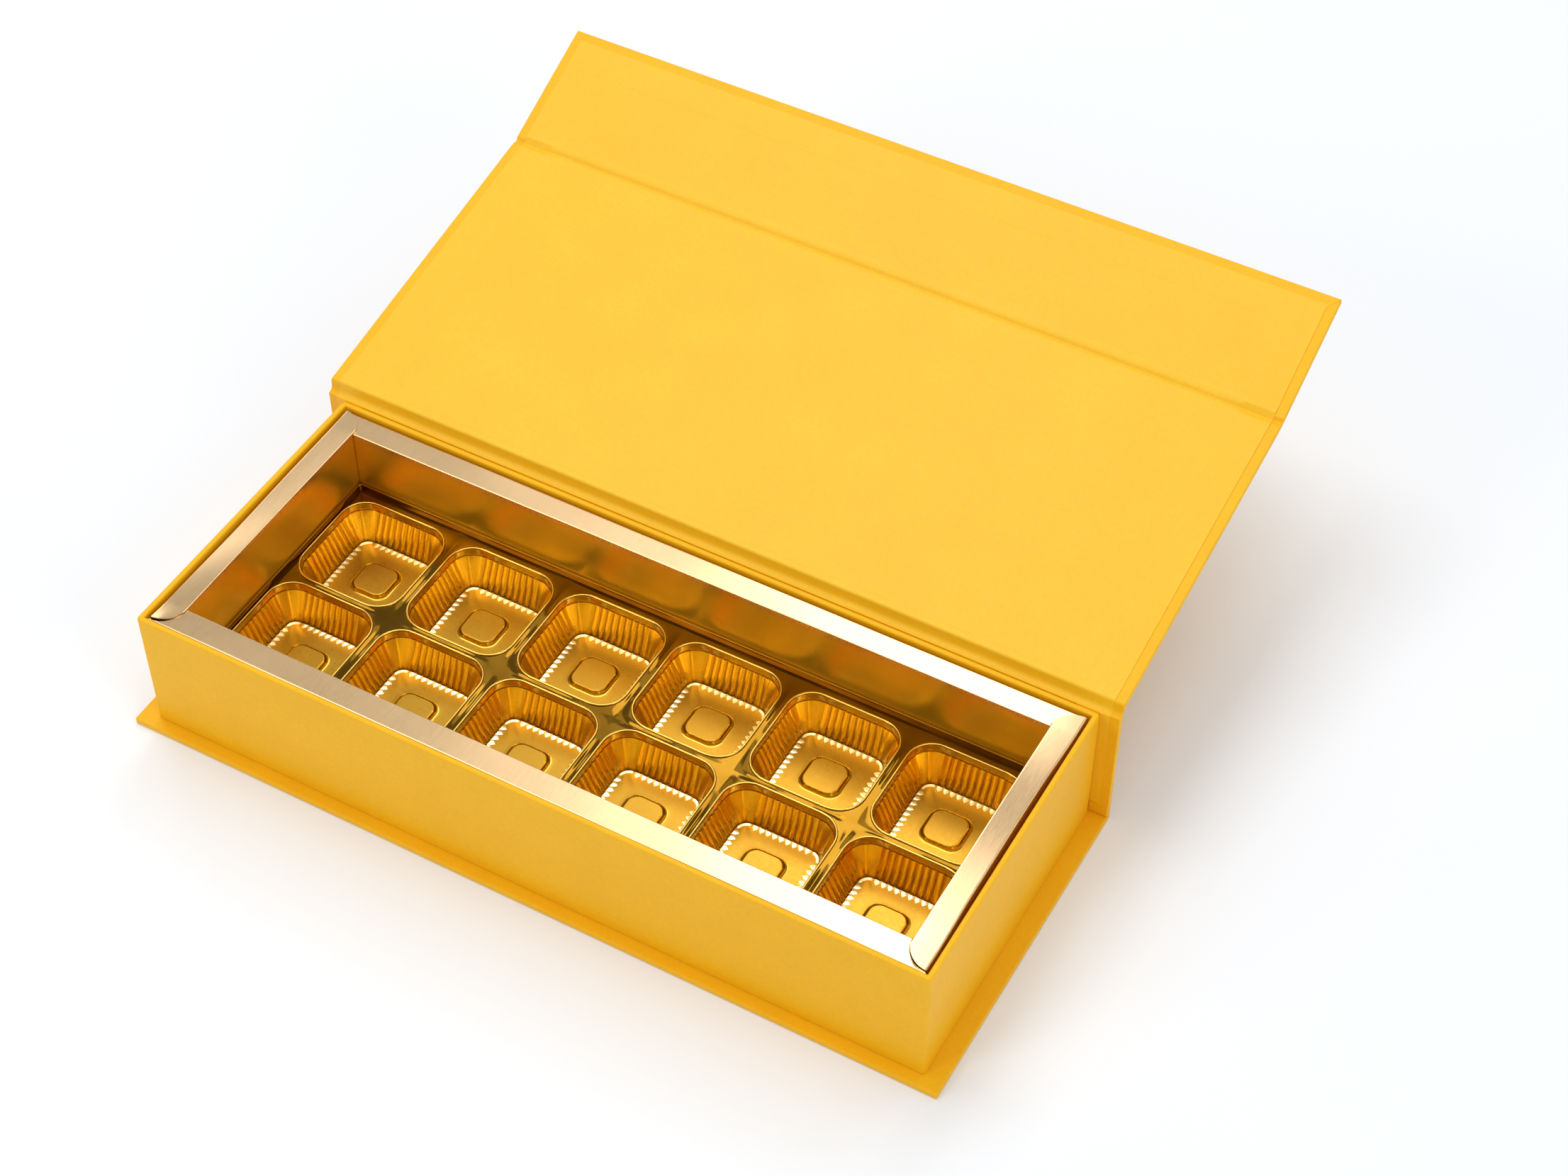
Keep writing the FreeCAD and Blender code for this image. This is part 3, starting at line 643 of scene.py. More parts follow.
lidOut = evenly(softPath([
    onPanel("spine", spineStop, under), onPanel("spine", spineStop + wideGap + under, under),
    onPanel("lid", foldGap, under),
], [pathLook["lidOuter"]]), pathLook["lidPoints"])
lidTurn = lidInside(topH, pathLook["turnDrop"], foldGap + pathLook["lidTurnTake"], pathLook["bury"])
lidTurn = evenly(lidTurn, pathLook["lidPoints"])
lidLiner = evenly(lidInside(linerTop, 0.0, lidStart), pathLook["lidLinerPoints"])
flapOut = evenly(softPath([
    onPanel("lid", panelRun["lid"][1], under), onPanel("lid", lidReach, under), onPanel("flap", wideGap, under),
], [pathLook["flapOuter"]]), pathLook["flapPoints"])
flapTurn = flapInside(
    topH, creaseLook["turnDip"], panelRun["lid"][1] - pathLook["flapTurnTake"], wideGap + pathLook["flapTurnTake"],
    pathLook["turnReaches"], pathLook["bury"],
)
flapTurn = evenly(flapTurn, pathLook["flapPoints"])
flapLiner = flapInside(linerTop, creaseLook["dip"], lidStop, flapStart, pathLook["linerReaches"])
flapLiner = evenly(flapLiner, pathLook["flapLinerPoints"])

reliefLook = {  # how the relief is spread over the distance from each fold
    "lineWide": 0.5, "sunkFull": 1.25, "sunkRun": 1.8, "pinchAt": 2.0, "pinchWide": 0.45,
    "flapStepAt": 2.4, "flapStepRun": 1.7, "lidStepAt": 1.8, "lidStepRun": 1.2,
}
offFold = np.linalg.norm(flapLiner - onPanel("lid", troughAt, linerTop), axis=1)
creased = hump(offFold, reliefLook["lineWide"])
sunk = smooth(reliefLook["sunkFull"] - offFold / reliefLook["sunkRun"])
pinched = hump(offFold - reliefLook["pinchAt"], reliefLook["pinchWide"])  # a ridge on either side of the crease
flapStep = smooth((offFold - reliefLook["flapStepAt"]) / reliefLook["flapStepRun"])
lidStep = smooth((lidLiner[:, 0] - lidFold[0] - reliefLook["lidStepAt"]) / reliefLook["lidStepRun"])

baseStrip = coverStrip(baseBend(under, pathLook["baseOuter"]), baseBend(topH, pathLook["baseInner"]))
baseCrease = makePiece("base_crease", [baseStrip], coverPaper, closed=True)
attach(standFor(baseCrease, "yellow_paper", "base_crease_paper"), "base")


def acrossFold(piece, slotName, node, bodies, start, end):  # the piece's place is baked into its points and the node is hidden
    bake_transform(piece)
    return standFor(piece, slotName, node)


bendLook = {"lidFrom": (-0.05, -0.2), "lidTo": (0.3, 0.15), "flapHeight": 1.0}  # the ends of each crease's span
lidSpan = (lidFold + bendLook["lidFrom"], lidFold + bendLook["lidTo"])
flapSpan = [onPanel(*end, bendLook["flapHeight"]) for end in (("lid", panelRun["lid"][1]), ("flap", wideGap))]
acrossFold(makePiece("lid_crease_cover", [coverStrip(lidOut, lidTurn)], coverPaper, closed=True),
           "yellow_paper", "lid_crease_paper", ("base", "lid"), *lidSpan)
acrossFold(makePiece("lid_crease_liner", [linerStrip(lidLiner, lidStep)], linerPaper),
           "liner_paper", "lid_crease_paper", ("base", "lid"), *lidSpan)
acrossFold(makePiece("flap_crease_cover", [coverStrip(flapOut, flapTurn)], coverPaper, closed=True),
           "yellow_paper", "flap_crease_paper", ("lid", "flap"), *flapSpan)
acrossFold(makePiece("flap_crease_liner", [linerStrip(flapLiner, flapStep, (creased, sunk, pinched))], linerPaper),
           "liner_paper", "flap_crease_paper", ("lid", "flap"), *flapSpan)

# Rigid tray: one sheet over the walls, round at the corners and over the rim

print("tray")
trayLook = {
    "cornerRound": 1.1, "rimRound": 0.8, "footRound": 0.3, "wall": 1.8, "insideFoot": 1.65, "roundSteps": 7,
    "footPoints": 3, "footShare": 0.999, "cornerSteps": 6, "sideSteps": 12, "support": 0.6, "boardRound": 0.7,
    "tapeLeg": 12.0, "tapeDepth": 0.12, "tapeFoot": 0.5, "tapeSteps": 8, "tapeRows": 6,
}


def trayGrid():
    # a wall profile (distance in from the outside, height) carried round a rectangle with soft corners
    rimRound, wall, steps = trayLook["rimRound"], trayLook["wall"], trayLook["roundSteps"]
    bottom, top = trayLow[2], trayHigh[2]
    profile = softPath([
        (rimRound, bottom), (0, bottom), (0, top), (wall, top), (wall, bottom + trayLook["insideFoot"]),
    ], [trayLook["footRound"], rimRound, rimRound], steps)
    share = np.linspace(0, 1, trayLook["footPoints"] + 1)[1:, None]
    before, after = profile[steps], profile[steps + 1]  # the foot's last step, where the wall begins
    closer = before + (after - before) * share * trayLook["footShare"]
    profile = np.vstack([profile[:steps + 1], closer, profile[steps + 1:]])
    loops = roundRect(trayHigh[:2], trayLook["cornerRound"], profile[:, 0], trayLook["cornerSteps"],
                      trayLook["sideSteps"], trayLook["support"])
    return atHeights(loops, profile[:, 1])


tray = makePiece("tray_wrap", [trayGrid()], coverPaper, closed=True)
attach(standFor(tray, "yellow_paper", "tray_cover_paper"), "base")


def wallBoardGrid(node):
    # the board's section in height and thickness, soft at its edges, carried along its wall
    low, high = cadSpan(node)
    wide, thick = (0, 1) if high[0] - low[0] > high[1] - low[1] else (1, 0)
    soft = trayLook["boardRound"]
    along, loop = slabLoops(low[[2, thick]], high[[2, thick]], high[wide], soft, soft)
    parts = {wide: np.broadcast_to(along, loop.shape[:2]), thick: loop[..., 1], 2: loop[..., 0]}
    return np.stack([parts[axis] for axis in range(3)], -1)


for wall in ("front", "back", "left", "right"):
    board = makePiece(f"tray_{wall}_wall", [wallBoardGrid(f"tray_{wall}_wall_board")], greyBoard, closed=True)
    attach(standFor(board, "greyboard", f"tray_{wall}_wall_board"), "base")


def tapeGrids():
    # a strip bent round each upright edge of the tray: an L-shaped path with a soft corner, carried up the wall
    low, high = cadSpan("tray_corner_tapes")
    leg, rows = trayLook["tapeLeg"], trayLook["tapeRows"]
    x, y = trayHigh[:2] - trayLook["tapeDepth"]
    bend = softPath([(x - leg, y), (x, y), (x, y - leg)], [trayLook["cornerRound"]], trayLook["tapeSteps"])
    heights = np.linspace(low[2] + trayLook["tapeFoot"], high[2] - trayLook["rimRound"], rows)
    for corner in ((1, 1), (1, -1), (-1, 1), (-1, -1)):
        yield atHeights(np.broadcast_to(bend * corner, (rows, *bend.shape)), heights)


tapes = makePiece("tray_corner_stays", list(tapeGrids()), stayTape)
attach(standFor(tapes, "tape", "tray_corner_tapes"), "base")

# Card insert: four folded sides; the short rims lie on the long ones and end in round tabs

print("card insert")
insertLow, insertHigh = cadSpan("card_insert")
insertLook = {
    "rim": 7.3, "card": 0.4, "fold": 0.32, "seam": 0.12, "edgeLeft": 0.06, "toneRun": 0.6, "flatRun": 1.5,
    "wave": 0.05, "shortWave": 6.1, "shortShare": 0.5, "longWave": 15.0, "outWave": 5.0,  # the rims' faint waves
    "bulge": 0.22, "bulgeFoot": 27.0, "bulgeRise": 6, "bulgeTop": 4, "bulgeEnds": 10,  # the inner walls aren't flat
    "bulgeWaves": [(11, 9, 2), (23, -6, 1)],  # by place along, by height, and phase by side
    "press": 0.30, "pressFrom": 0.1, "pressRun": 1.0,  # the long rims under the tabs
    "frontReach": 0.9, "frontRise": 20, "frontFlare": 0.07,  # the front rim is pushed out to the tray's wall
    "lean": 0.34, "turnLean": 0.42, "leanAt": 12, "leanRun": 22, "lift": 0.16, "curl": 0.40, "curlRun": 1.4,
    "bow": 0.55, "bowUneven": 0.2, "bowWave": 14, "rightReach": 0.25, "reachFrom": 0.5, "reachRun": 0.4,
    "foldSteps": 5, "foldClear": 1.3, "wallRows": 16, "rimRows": 18, "floorColumns": 12, "floorRows": 6, "sharp": 60,
    "shares": [(0.84, 40), (0.84, 12), (0.93, 19)],  # points over the middle, near the ends and by the ends
}
wellX, wellY = insertHigh[0] - insertLook["rim"], insertHigh[1] - insertLook["rim"]


def insertProfile(top):
    # distance out from the well, and height: inner wall, fold, rim, fold, outer wall
    rim, fold, steps = insertLook["rim"], insertLook["fold"], insertLook["foldSteps"]
    foot, clear = insertLow[2] + insertLook["card"], fold * insertLook["foldClear"]
    corners = softPath([(0, foot), (0, top), (rim, top), (rim, insertLow[2])], [fold, fold], steps)
    wall = np.linspace(foot, top - fold, insertLook["wallRows"])[1:-1]
    flat = rim * (1 - np.cos(np.linspace(0, np.pi / 2, insertLook["rimRows"])[1:-1]))
    flat = flat[(flat > clear) & (flat < rim - clear)]
    wallRows, rimRows = np.stack([0 * wall, wall], -1), np.stack([flat, 0 * flat + top], -1)
    return np.vstack([corners[:1], wallRows, corners[1:steps + 2], rimRows, corners[steps + 2:]])


def insertShares():  # places along a side from -1 to 1, closer towards its ends, and twice at the ends
    (middle, count), (near, nearCount), (tip, tipCount) = insertLook["shares"]
    share = spread((-middle, middle, count), (-1, -near, nearCount), (near, 1, nearCount),
                   (-1, -tip, tipCount), (tip, 1, tipCount))
    return np.r_[share[0], share, share[-1]][None]


def insertSide(alongHalf, acrossHalf, top, longSide, sign):
    # the profile carried along the side, then bent; the tone goes from 0 on the rim to 1 on the walls, whose deeper
    # gold is painted reflection
    look, rim, profile = insertLook, insertLook["rim"], insertProfile(top)
    out, height = profile[:, :1], profile[:, 1:]
    onWall = out < tiny
    if longSide:  # mitred at the ends
        half = alongHalf + out * (1 + look["frontFlare"] * (sign < 0)) - look["seam"] * onWall
    else:  # a tab on a quarter circle at each end
        half = alongHalf + np.sqrt(np.maximum(rim**2 - (rim - out) ** 2, 0))
    along = insertShares() * half
    flatness = smooth((height - top + look["flatRun"]) / look["flatRun"])
    hollow = onWall * smooth((top - height) / look["bulgeTop"])
    hollow = hollow * smooth((height - look["bulgeFoot"]) / look["bulgeRise"])
    hollow = hollow * smooth((alongHalf - np.abs(along)) / look["bulgeEnds"])
    waves = sum(np.sin(along / by + height / up + phase * sign) for by, up, phase in look["bulgeWaves"])
    bulge = look["bulge"] * hollow * waves
    ripple = np.sin(along / look["shortWave"] + sign) * look["shortShare"]
    ripple = ripple + np.sin(along / look["longWave"] - 2 * sign + out / look["outWave"])
    z = height + look["wave"] * flatness * ripple
    if longSide:  # pressed down under the tabs, which are quarter discs about the short rims' outer edges
        fromTab = rim - np.hypot(alongHalf + rim - np.abs(along), out)
        z = z - look["press"] * smooth((fromTab + look["pressFrom"]) / look["pressRun"]) * flatness
    if longSide and sign < 0:
        out = out + look["frontReach"] * (out / rim) ** 2 * smooth((height - insertLow[2]) / look["frontRise"])
    if not longSide:  # the right rim leans most behind its middle, the left one before it
        tab = np.clip((np.abs(along) - alongHalf) / rim, 0, 1)
        towards = hump(sign * along - look["leanAt"], look["leanRun"])
        z = z - (look["lean"] + look["turnLean"] * towards) * out / rim * flatness
        z = z + look["lift"] * tab * flatness
        if sign > 0:  # bowed in between its ends
            ends = look["rightReach"] * smooth((np.abs(along) / alongHalf - look["reachFrom"]) / look["reachRun"])
            uneven = 1 - look["bowUneven"] + look["bowUneven"] * np.sin(along / look["bowWave"])
            bow = look["bow"] * (1 - (along / alongHalf) ** 2).clip(0) * uneven
            out = out + (ends - bow) * out / rim
        else:  # its front tab curls up
            z = z + look["curl"] * tab**2 * (along < 0) * flatness * smooth(out / rim * look["curlRun"])
    z[:, [0, -1]] -= (look["card"] - look["edgeLeft"]) * (height > top - look["card"])  # the card's cut edge
    across = sign * (acrossHalf + out + bulge)
    order = (along, across) if longSide else (across, along)
    return np.stack([*order, z], -1), np.clip((top - height) / look["toneRun"], 0, 1)


sides, tones = [], []
for longSide, sign in ((True, 1), (True, -1), (False, 1), (False, -1)):
    top = insertHigh[2] - (insertLook["card"] if longSide else 0)
    grid, tone = insertSide(wellX if longSide else wellY, wellY if longSide else wellX, top, longSide, sign)
    sides.append(grid if (sign > 0) == longSide else grid[:, ::-1])
    tones.append(tone)
floorX, floorY = np.meshgrid(
    np.linspace(-wellX, wellX, insertLook["floorColumns"]), np.linspace(-wellY, wellY, insertLook["floorRows"]))
sides.append(np.stack([floorX, floorY, np.full(floorX.shape, insertLow[2] + insertLook["card"])], -1))
# the well's floor takes the walls' deeper gold, painted reflection
tones.append(np.ones(floorX.shape))
insert = makePiece("gold_card_insert", sides, goldCard, marks=tones, sharp=insertLook["sharp"])
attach(standFor(insert, "gold_card", "card_insert"), "insert")

# Cavity tray: one cup is a stack of rounded-square loops from the middle of its pad out to the edge of its cell

print("cavity tray")
filmLow, filmHigh = cadSpan("cavity_tray")
cupLook = {
    "columns": 6, "rows": 2, "mouth": 17.2, "floor": 12.8, "depth": 12.0, "floorRadius": 3.2, "gap": 1.4, "endGap": 0.1,
    "pad": 6.2, "padHeight": 1.2, "padCorner": 0.56, "padShares": (0.002, 0.5, 0.84),  # as shares of the pad
    "shoulder": 0.14, "shoulderCorner": 0.49, "shoulderSteps": 6, "shoulderDrop": 0.9, "shoulderFade": 2.2,
    "footWide": 0.1, "footCorner": 0.04, "footRise": 0.1, "footTones": ((0.2, 4), (0.6, 1.3), (1, 1)),
    "floorLoops": ((7.8, 2.4), (9.4, 0.7)), "toothStart": 1.04,
    "flutes": 9, "fluteSpan": 0.97, "groove": 0.42, "groovePaintedShade": 0.38, "foot": 0.3, "tooth": 1.35, "toothRise": 0.2,
    # one flute from groove to groove: places, the groove's share there and the tooth's; narrow grooves, broad ribs
    "fluteAt": (0, 0.2, 0.5, 0.8), "grooveAt": (1, 0.2, 0, 0.2), "toothAt": (0, 0.45, 1, 0.45), "besideTooth": 3,
    "cornerFoot": 0.7, "cornerRise": 0.12, "riseLeft": 0.25, "riseFade": 8,
    "wallTones": ((0.012, 4), (0.05, 2.6), (0.12, 2), (0.5, 2), (0.93, 2), (0.965, 3.2)),  # by share of the height
    "band": 1.8, "bandIn": 0.05, "bandShares": (-0.08, 0.45, 0.9),
    "bead": 0.8, "beadHeight": 0.5, "beadTones": (2, 3.4, 4.8, 5, 5, 4.8, 4, 3.3),
    "arcSteps": 8, "cellFlat": 0.6, "webShares": (0.18, 0.45, 0.75, 1.0), "sag": 0.12, "sagEdge": 3,
    "sagWaves": (5.3, 3.7),
}
curbLook = {
    "wide": 0.75, "height": 2.0, "reach": 0.22, "topWide": 0.72, "innerRound": 0.25, "outerRound": 0.2,
    "roundSteps": 4, "cornerRound": 1.5, "sideSteps": 16, "support": 0.5, "skirtStart": 1.0,
    "tone": 3.6, "skirtTone": 2.0, "toneAt": 0.5,  # the curb's dark tone is painted dark reflection; the skirt takes the cups' walls' tone
}
# tones pick the film's tints: tooth is a painted highlight, web is darkened for painted reflections, shade is painted
# shade, bead is a painted highlight; floor and wall are set for their light
filmTone = {"tooth": 0, "floor": 1, "wall": 2, "web": 3, "shade": 4, "bead": 5}
webZ = filmHigh[2] - curbLook["height"]
floorZ = webZ - cupLook["depth"]
basinX, basinY = filmHigh[0] - curbLook["wide"], filmHigh[1] - curbLook["wide"]
beadHalf = cupLook["mouth"] + cupLook["bead"]
pitchX = (2 * basinX - 2 * cupLook["endGap"] - 2 * beadHalf) / (cupLook["columns"] - 1)
pitchY = 2 * beadHalf + cupLook["gap"]
cupDraft = (cupLook["mouth"] - cupLook["floor"]) / (cupLook["depth"] - cupLook["band"])


def plain(half, corner, height, tone):  # a level without grooves or teeth
    return half, corner, height, 0, 0, 0, tone


def cupLevels():
    # per level: half width, corner radius, height, share of the grooves, of a tooth's reach, of its rise, and tone,
    # which picks a tint that paints light and shade
    look, onFloor, shade = cupLook, filmTone["floor"], filmTone["shade"]
    pad, padTop, padCorner, bandZ = look["pad"], look["padHeight"], look["padCorner"], look["depth"] - look["band"]
    floor, mouth, radius = look["floor"], look["mouth"], look["floorRadius"]
    levels = [plain(share * pad, share * padCorner * pad, padTop, onFloor) for share in look["padShares"]]
    for t in np.linspace(0, 1, look["shoulderSteps"]):  # the pad's shoulder and side, whose tone fades to painted dark reflection
        wide = 1 - look["shoulder"] + look["shoulder"] * t
        corner = look["shoulderCorner"] + (padCorner - look["shoulderCorner"]) * t
        tone = onFloor + (shade - onFloor) * smooth(t * look["shoulderFade"])
        levels.append(plain(pad * wide, pad * corner, padTop * (1 - look["shoulderDrop"] * smooth(t)), tone))
    for t, tone in look["footTones"]:  # and its foot, with a ring of painted dark reflection
        wide, corner = 1 + look["footWide"] * t, padCorner + look["footCorner"] * t
        levels.append(plain(pad * wide, pad * corner, look["footRise"] * padTop * (1 - t) ** 2, tone))
    levels += [plain(half, corner, 0, onFloor) for half, corner in look["floorLoops"]]
    levels.append((floor, radius, 0, 0, look["toothStart"], 0, onFloor))
    for t in (0, 0.5, 1):  # a ramp from the floor up each tooth
        levels.append((floor, radius, 0, t, 1 - t, t, filmTone["tooth"]))
    for t, tone in look["wallTones"]:  # the grooved wall, with painted shade at its foot and under the band
        wider = cupDraft * bandZ * t
        levels.append((floor + wider, radius + wider, bandZ * t, 1, 0, (1 - t) ** look["riseFade"], tone))
    mouthRadius = radius + mouth - floor
    for t in look["bandShares"]:  # the smooth band under the bead
        levels.append(plain(mouth - look["bandIn"] * (1 - t), mouthRadius, bandZ + look["band"] * t, filmTone["wall"]))
    # the bead, with painted highlight along its top and painted shade on its sides
    for t, tone in zip(np.linspace(0, np.pi, len(look["beadTones"])), look["beadTones"]):
        wide, height = look["bead"] / 2 * (1 - math.cos(t)), look["depth"] + look["beadHeight"] * math.sin(t)
        levels.append(plain(mouth + wide, mouthRadius + wide, height, tone))
    return np.array(levels).T[:, :, None]


def cupLoops():
    # each level's loop: four fluted sides, grooves going out and teeth reaching in, and four plain arcs
    half, radius, height, ridge, reach, climb, tone = cupLevels()
    count = cupLook["flutes"]
    phase = np.r_[(np.arange(count)[:, None] + np.array(cupLook["fluteAt"])).ravel(), count]
    along = np.r_[-1, (phase * 2 / count - 1) * cupLook["fluteSpan"], 1]
    groove = np.r_[0, 0.5, np.tile(cupLook["grooveAt"], count)[1:], 0.5, 0]  # the first and the last are shallower
    tooth = np.r_[0, np.tile(cupLook["toothAt"], count), 0, 0]  # a triangle with its tip at the rib's middle
    rise = climb * cupLook["toothRise"] * (cupLook["riseLeft"] + (1 - cupLook["riseLeft"]) * tooth)
    inward = reach * (cupLook["foot"] + cupLook["tooth"] * tooth) - ridge * groove * cupLook["groove"]
    sideAlong, sideOut, sideZ = along * (half - radius), half + cupDraft * rise - inward, height + rise
    # painted light in the tone: beside each tooth's tip the floor's tone comes back, so the painted highlight is a
    # triangle, and the wall's grooves get a darker tint, painted shade
    besideTooth = (tone == filmTone["tooth"]) * (1 - np.minimum(tooth * cupLook["besideTooth"], 1))
    inGroove = ridge * groove * (tone > filmTone["floor"]) * (tone < filmTone["shade"])
    sideTone = np.minimum(tone + besideTooth + cupLook["groovePaintedShade"] * inGroove, filmTone["bead"])
    angle = np.linspace(0, np.pi / 2, cupLook["arcSteps"] + 1)[1:-1]
    lift = climb * cupLook["cornerRise"]
    bend = radius + cupDraft * lift - reach * cupLook["cornerFoot"]
    arcAlong, arcOut = half - radius + bend * np.sin(angle), half - radius + bend * np.cos(angle)
    arcZ, arcTone = height + lift + 0 * angle, tone + 0 * angle
    pairs = ((sideAlong, arcAlong), (sideOut, arcOut), (sideZ, arcZ), (sideTone, arcTone))
    along, out, z, tone = [np.concatenate(pair, 1) for pair in pairs]
    return np.stack([*fourSides(along, out), np.tile(z, (1, 4))], -1), np.tile(tone, (1, 4)), groove.size


def cellEdge(low, high, sidePoints):
    # the same run of points on the cell's rectangle: a side's points, then half a corner along each of two edges
    corner = np.linspace(0, 1, cupLook["arcSteps"] + 1)[1:-1]
    inner = cupLook["cellFlat"]
    flat = np.linspace(-inner, inner, sidePoints)
    along = np.r_[flat, np.minimum(inner + (1 - inner) * 2 * corner, 1)]
    out = np.r_[np.ones(sidePoints), np.minimum(1, 1 - (1 - inner) * (2 * corner - 1))]
    x, y = fourSides(along, out)
    middle, half = (low + high) / 2, (high - low) / 2
    return np.stack([middle[0] + x * half[0], middle[1] + y * half[1]], -1)


def webGrid(bead, edge):
    # from a cup's bead out to the edge of its cell, sagging a little between the cups
    share = np.array(cupLook["webShares"])[:, None, None]
    web = bead * (1 - share) + edge * share
    fromX, fromY = basinX - np.abs(web[..., 0]), basinY - np.abs(web[..., 1])
    inside = smooth(fromX / cupLook["sagEdge"]) * smooth(fromY / cupLook["sagEdge"])
    waveX, waveY = cupLook["sagWaves"]
    uneven = 1 + np.sin(web[..., 0] / waveX + web[..., 1] / waveY)
    sag = cupLook["sag"] * smooth(share[..., 0]) * inside * uneven
    return np.concatenate([web, (webZ - sag)[..., None]], -1)


def filmCells():
    # the cup and its web at each place of the pattern
    loops, tone, sidePoints = cupLoops()
    grids, marks = [], []
    columns, rows = cupLook["columns"], cupLook["rows"]
    xMarks = np.r_[-basinX, (np.arange(1, columns) - columns / 2) * pitchX, basinX]
    yMarks = np.r_[-basinY, (np.arange(1, rows) - rows / 2) * pitchY, basinY]
    for row in range(rows):
        for column in range(columns):
            cup = loops + np.array([(column - (columns - 1) / 2) * pitchX, (row - (rows - 1) / 2) * pitchY, floorZ])
            low, high = np.array([xMarks[column], yMarks[row]]), np.array([xMarks[column + 1], yMarks[row + 1]])
            web = webGrid(cup[-1, :, :2], cellEdge(low, high, sidePoints))
            grids.append(np.concatenate([cup, web]))
            # the web's dark tone is painted reflection
            marks.append(np.concatenate([tone, np.full(web.shape[:2], float(filmTone["web"]))]))
    return grids, marks


def curbGrid():
    # the raised curb and the skirt: a profile (distance in, height) carried round the tray's rectangle
    look, top = curbLook, filmHigh[2]
    profile = softPath([
        (look["wide"] + look["reach"], webZ), (look["topWide"], top), (0, top), (0, top - look["skirtStart"]),
    ], [look["innerRound"], look["outerRound"]], look["roundSteps"])
    profile = np.vstack([profile, [(0, filmLow[2])]])
    loops = roundRect(filmHigh[:2] + look["reach"], look["cornerRound"], profile[:, 0],
                      sideSteps=look["sideSteps"], support=look["support"])
    tone = np.where(profile[:, 1:] < top - look["toneAt"], look["skirtTone"], look["tone"])
    tone[0] = look["tone"]
    return atHeights(loops, profile[:, 1]), tone


cells, cellTones = filmCells()
curb, curbTone = curbGrid()
film = makePiece("cavity_film", cells + [curb], goldFilm, closed=True, marks=cellTones + [curbTone])
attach(standFor(film, "gold_film", "cavity_tray"), "cavity_tray")

# Pieces that stay as the frame has them, with their own finishes

print("boards and discs")
keptFinish = {
    "base_board": greyBoard, "spine_board": greyBoard, "flap_board": greyBoard,
    "tray_floor_board": greyBoard, "flap_magnets": platedDisc, "front_wall_keepers": steelDisc,
}
for node, finish in keptFinish.items():
    for slotPlace in frame["nodes"][node].material_slots:
        slotPlace.material = finish

# Studio: pale floor, white surround, a key from the left, fills in front and at the right, and panels behind that the
# gold rims and the film mirror

print("studio")
studioLook = {
    "floorHalf": 6, "floorDrop": 1e-4, "floor": (0.905, 0.938, 0.980), "floorLight": (0.91, 0.943, 0.985),
    "floorScale": 3.0, "floorRough": 0.9, "floorSpecular": 0.1, "surround": 0.47,
}
lights = {  # place, target and size in metres, and power in watts
    "key_light": ((-0.58, 0.16, 1.58), (0.0, 0.05, 0.0), (0.8, 0.8), 6.8),
    "rim_light": ((-0.269, 0.806, 1.265), (0.05, 0.0, 0.04), (0.34, 0.72), 2.9),
    "rim_glow": ((-0.498, 0.707, 1.265), (0.05, 0.0, 0.04), (0.16, 0.72), 0.36),
    "front_fill": ((-0.6, -1.1, 0.75), (0.0, 0.0, 0.02), (0.5, 0.5), 3.6),
    "top_light": ((0.25, -0.05, 1.7), (0.0, 0.03, 0.0), (0.6, 0.6), 2.7),
    "side_fill": ((1.35, -0.35, 0.8), (0.0, 0.0, 0.02), (0.8, 0.8), 5.0),
    "back_right_panel": ((0.42, 0.90, 1.10), (0.0, 0.0, 0.02), (0.36, 0.36), 0.75),
    "back_left_panel": ((-0.957, 0.832, 0.703), (0.0, 0.0, 0.02), (0.36, 0.32), 0.90),
}
cameraLook = {  # fitted to the box's edges in the photo
    "eye": (0.29635, -0.43704, 0.65124), "azimuth": 28.985, "elevation": 47.53, "roll": 0.302,
    "lens": 66.81, "sensor": 36, "near": 0.01, "far": 50,
}
scene = bpy.context.scene
scene.view_settings.view_transform = "Standard"
floorMesh = bpy.data.meshes.new("studio_floor")
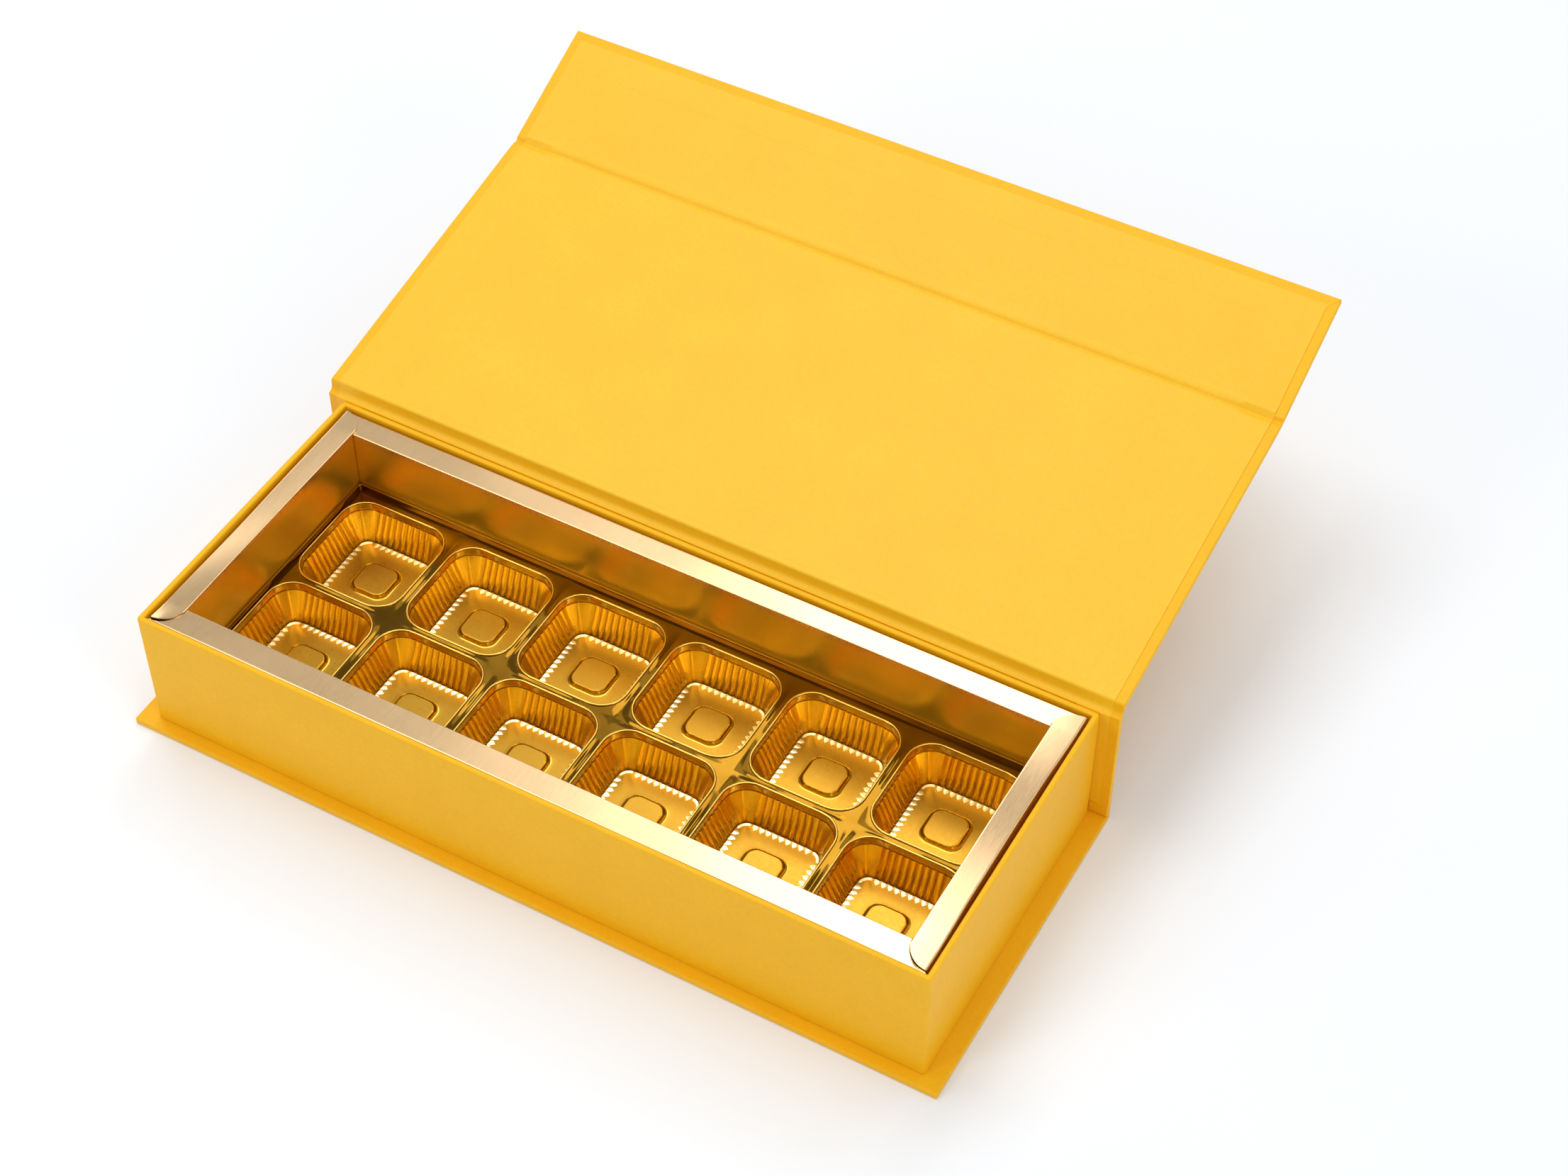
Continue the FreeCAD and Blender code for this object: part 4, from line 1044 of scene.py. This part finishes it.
floorCorners = np.array([(-1, -1), (1, -1), (1, 1), (-1, 1)]) * studioLook["floorHalf"]
floorMesh.from_pydata([(*corner, -studioLook["floorDrop"]) for corner in floorCorners.tolist()], [], [(0, 1, 2, 3)])
floor = bpy.data.objects.new("studio_floor", floorMesh)
scene.collection.objects.link(floor)
floorFinish, floorTree, floorShader, floorWhere = newFinish(
    "pale_floor", Roughness=studioLook["floorRough"], Specular_IOR_Level=studioLook["floorSpecular"])
floorCloud = noise(floorTree, floorWhere, studioLook["floorScale"])
floorTint = blendColour(floorTree, floorCloud, studioLook["floor"], studioLook["floorLight"])
floorTree.links.new(floorTint, floorShader.inputs["Base Color"])
floorMesh.materials.append(floorFinish)

world = bpy.data.worlds.new("white_surround")
world.use_nodes = True
world.node_tree.nodes["Background"].inputs["Color"].default_value = (1, 1, 1, 1)
world.node_tree.nodes["Background"].inputs["Strength"].default_value = studioLook["surround"]
scene.world = world


def softLight(name, place, target, size, power):  # a rectangle of light at a place, turned to a target
    lamp = bpy.data.lights.new(name, "AREA")
    lamp.shape = "RECTANGLE"
    lamp.size, lamp.size_y = size
    lamp.energy = power
    holder = bpy.data.objects.new(name, lamp)
    holder.location = place
    holder.rotation_euler = (Vector(target) - Vector(place)).to_track_quat("-Z", "Y").to_euler()
    scene.collection.objects.link(holder)


for name, values in lights.items():
    softLight(name, *values)

camera = bpy.data.cameras.new("photo_camera")
camera.sensor_width = cameraLook["sensor"]
camera.lens = cameraLook["lens"]
camera.clip_start, camera.clip_end = cameraLook["near"], cameraLook["far"]
eye = bpy.data.objects.new("photo_camera", camera)
turn, rise, roll = [math.radians(cameraLook[angle]) for angle in ("azimuth", "elevation", "roll")]
gaze = Vector((-math.sin(turn) * math.cos(rise), math.cos(turn) * math.cos(rise), -math.sin(rise)))
aim = gaze.to_track_quat("-Z", "Y").to_matrix().to_4x4()
eye.matrix_world = Matrix.Translation(cameraLook["eye"]) @ aim @ Matrix.Rotation(roll, 4, "Z")
scene.collection.objects.link(eye)
scene.camera = eye
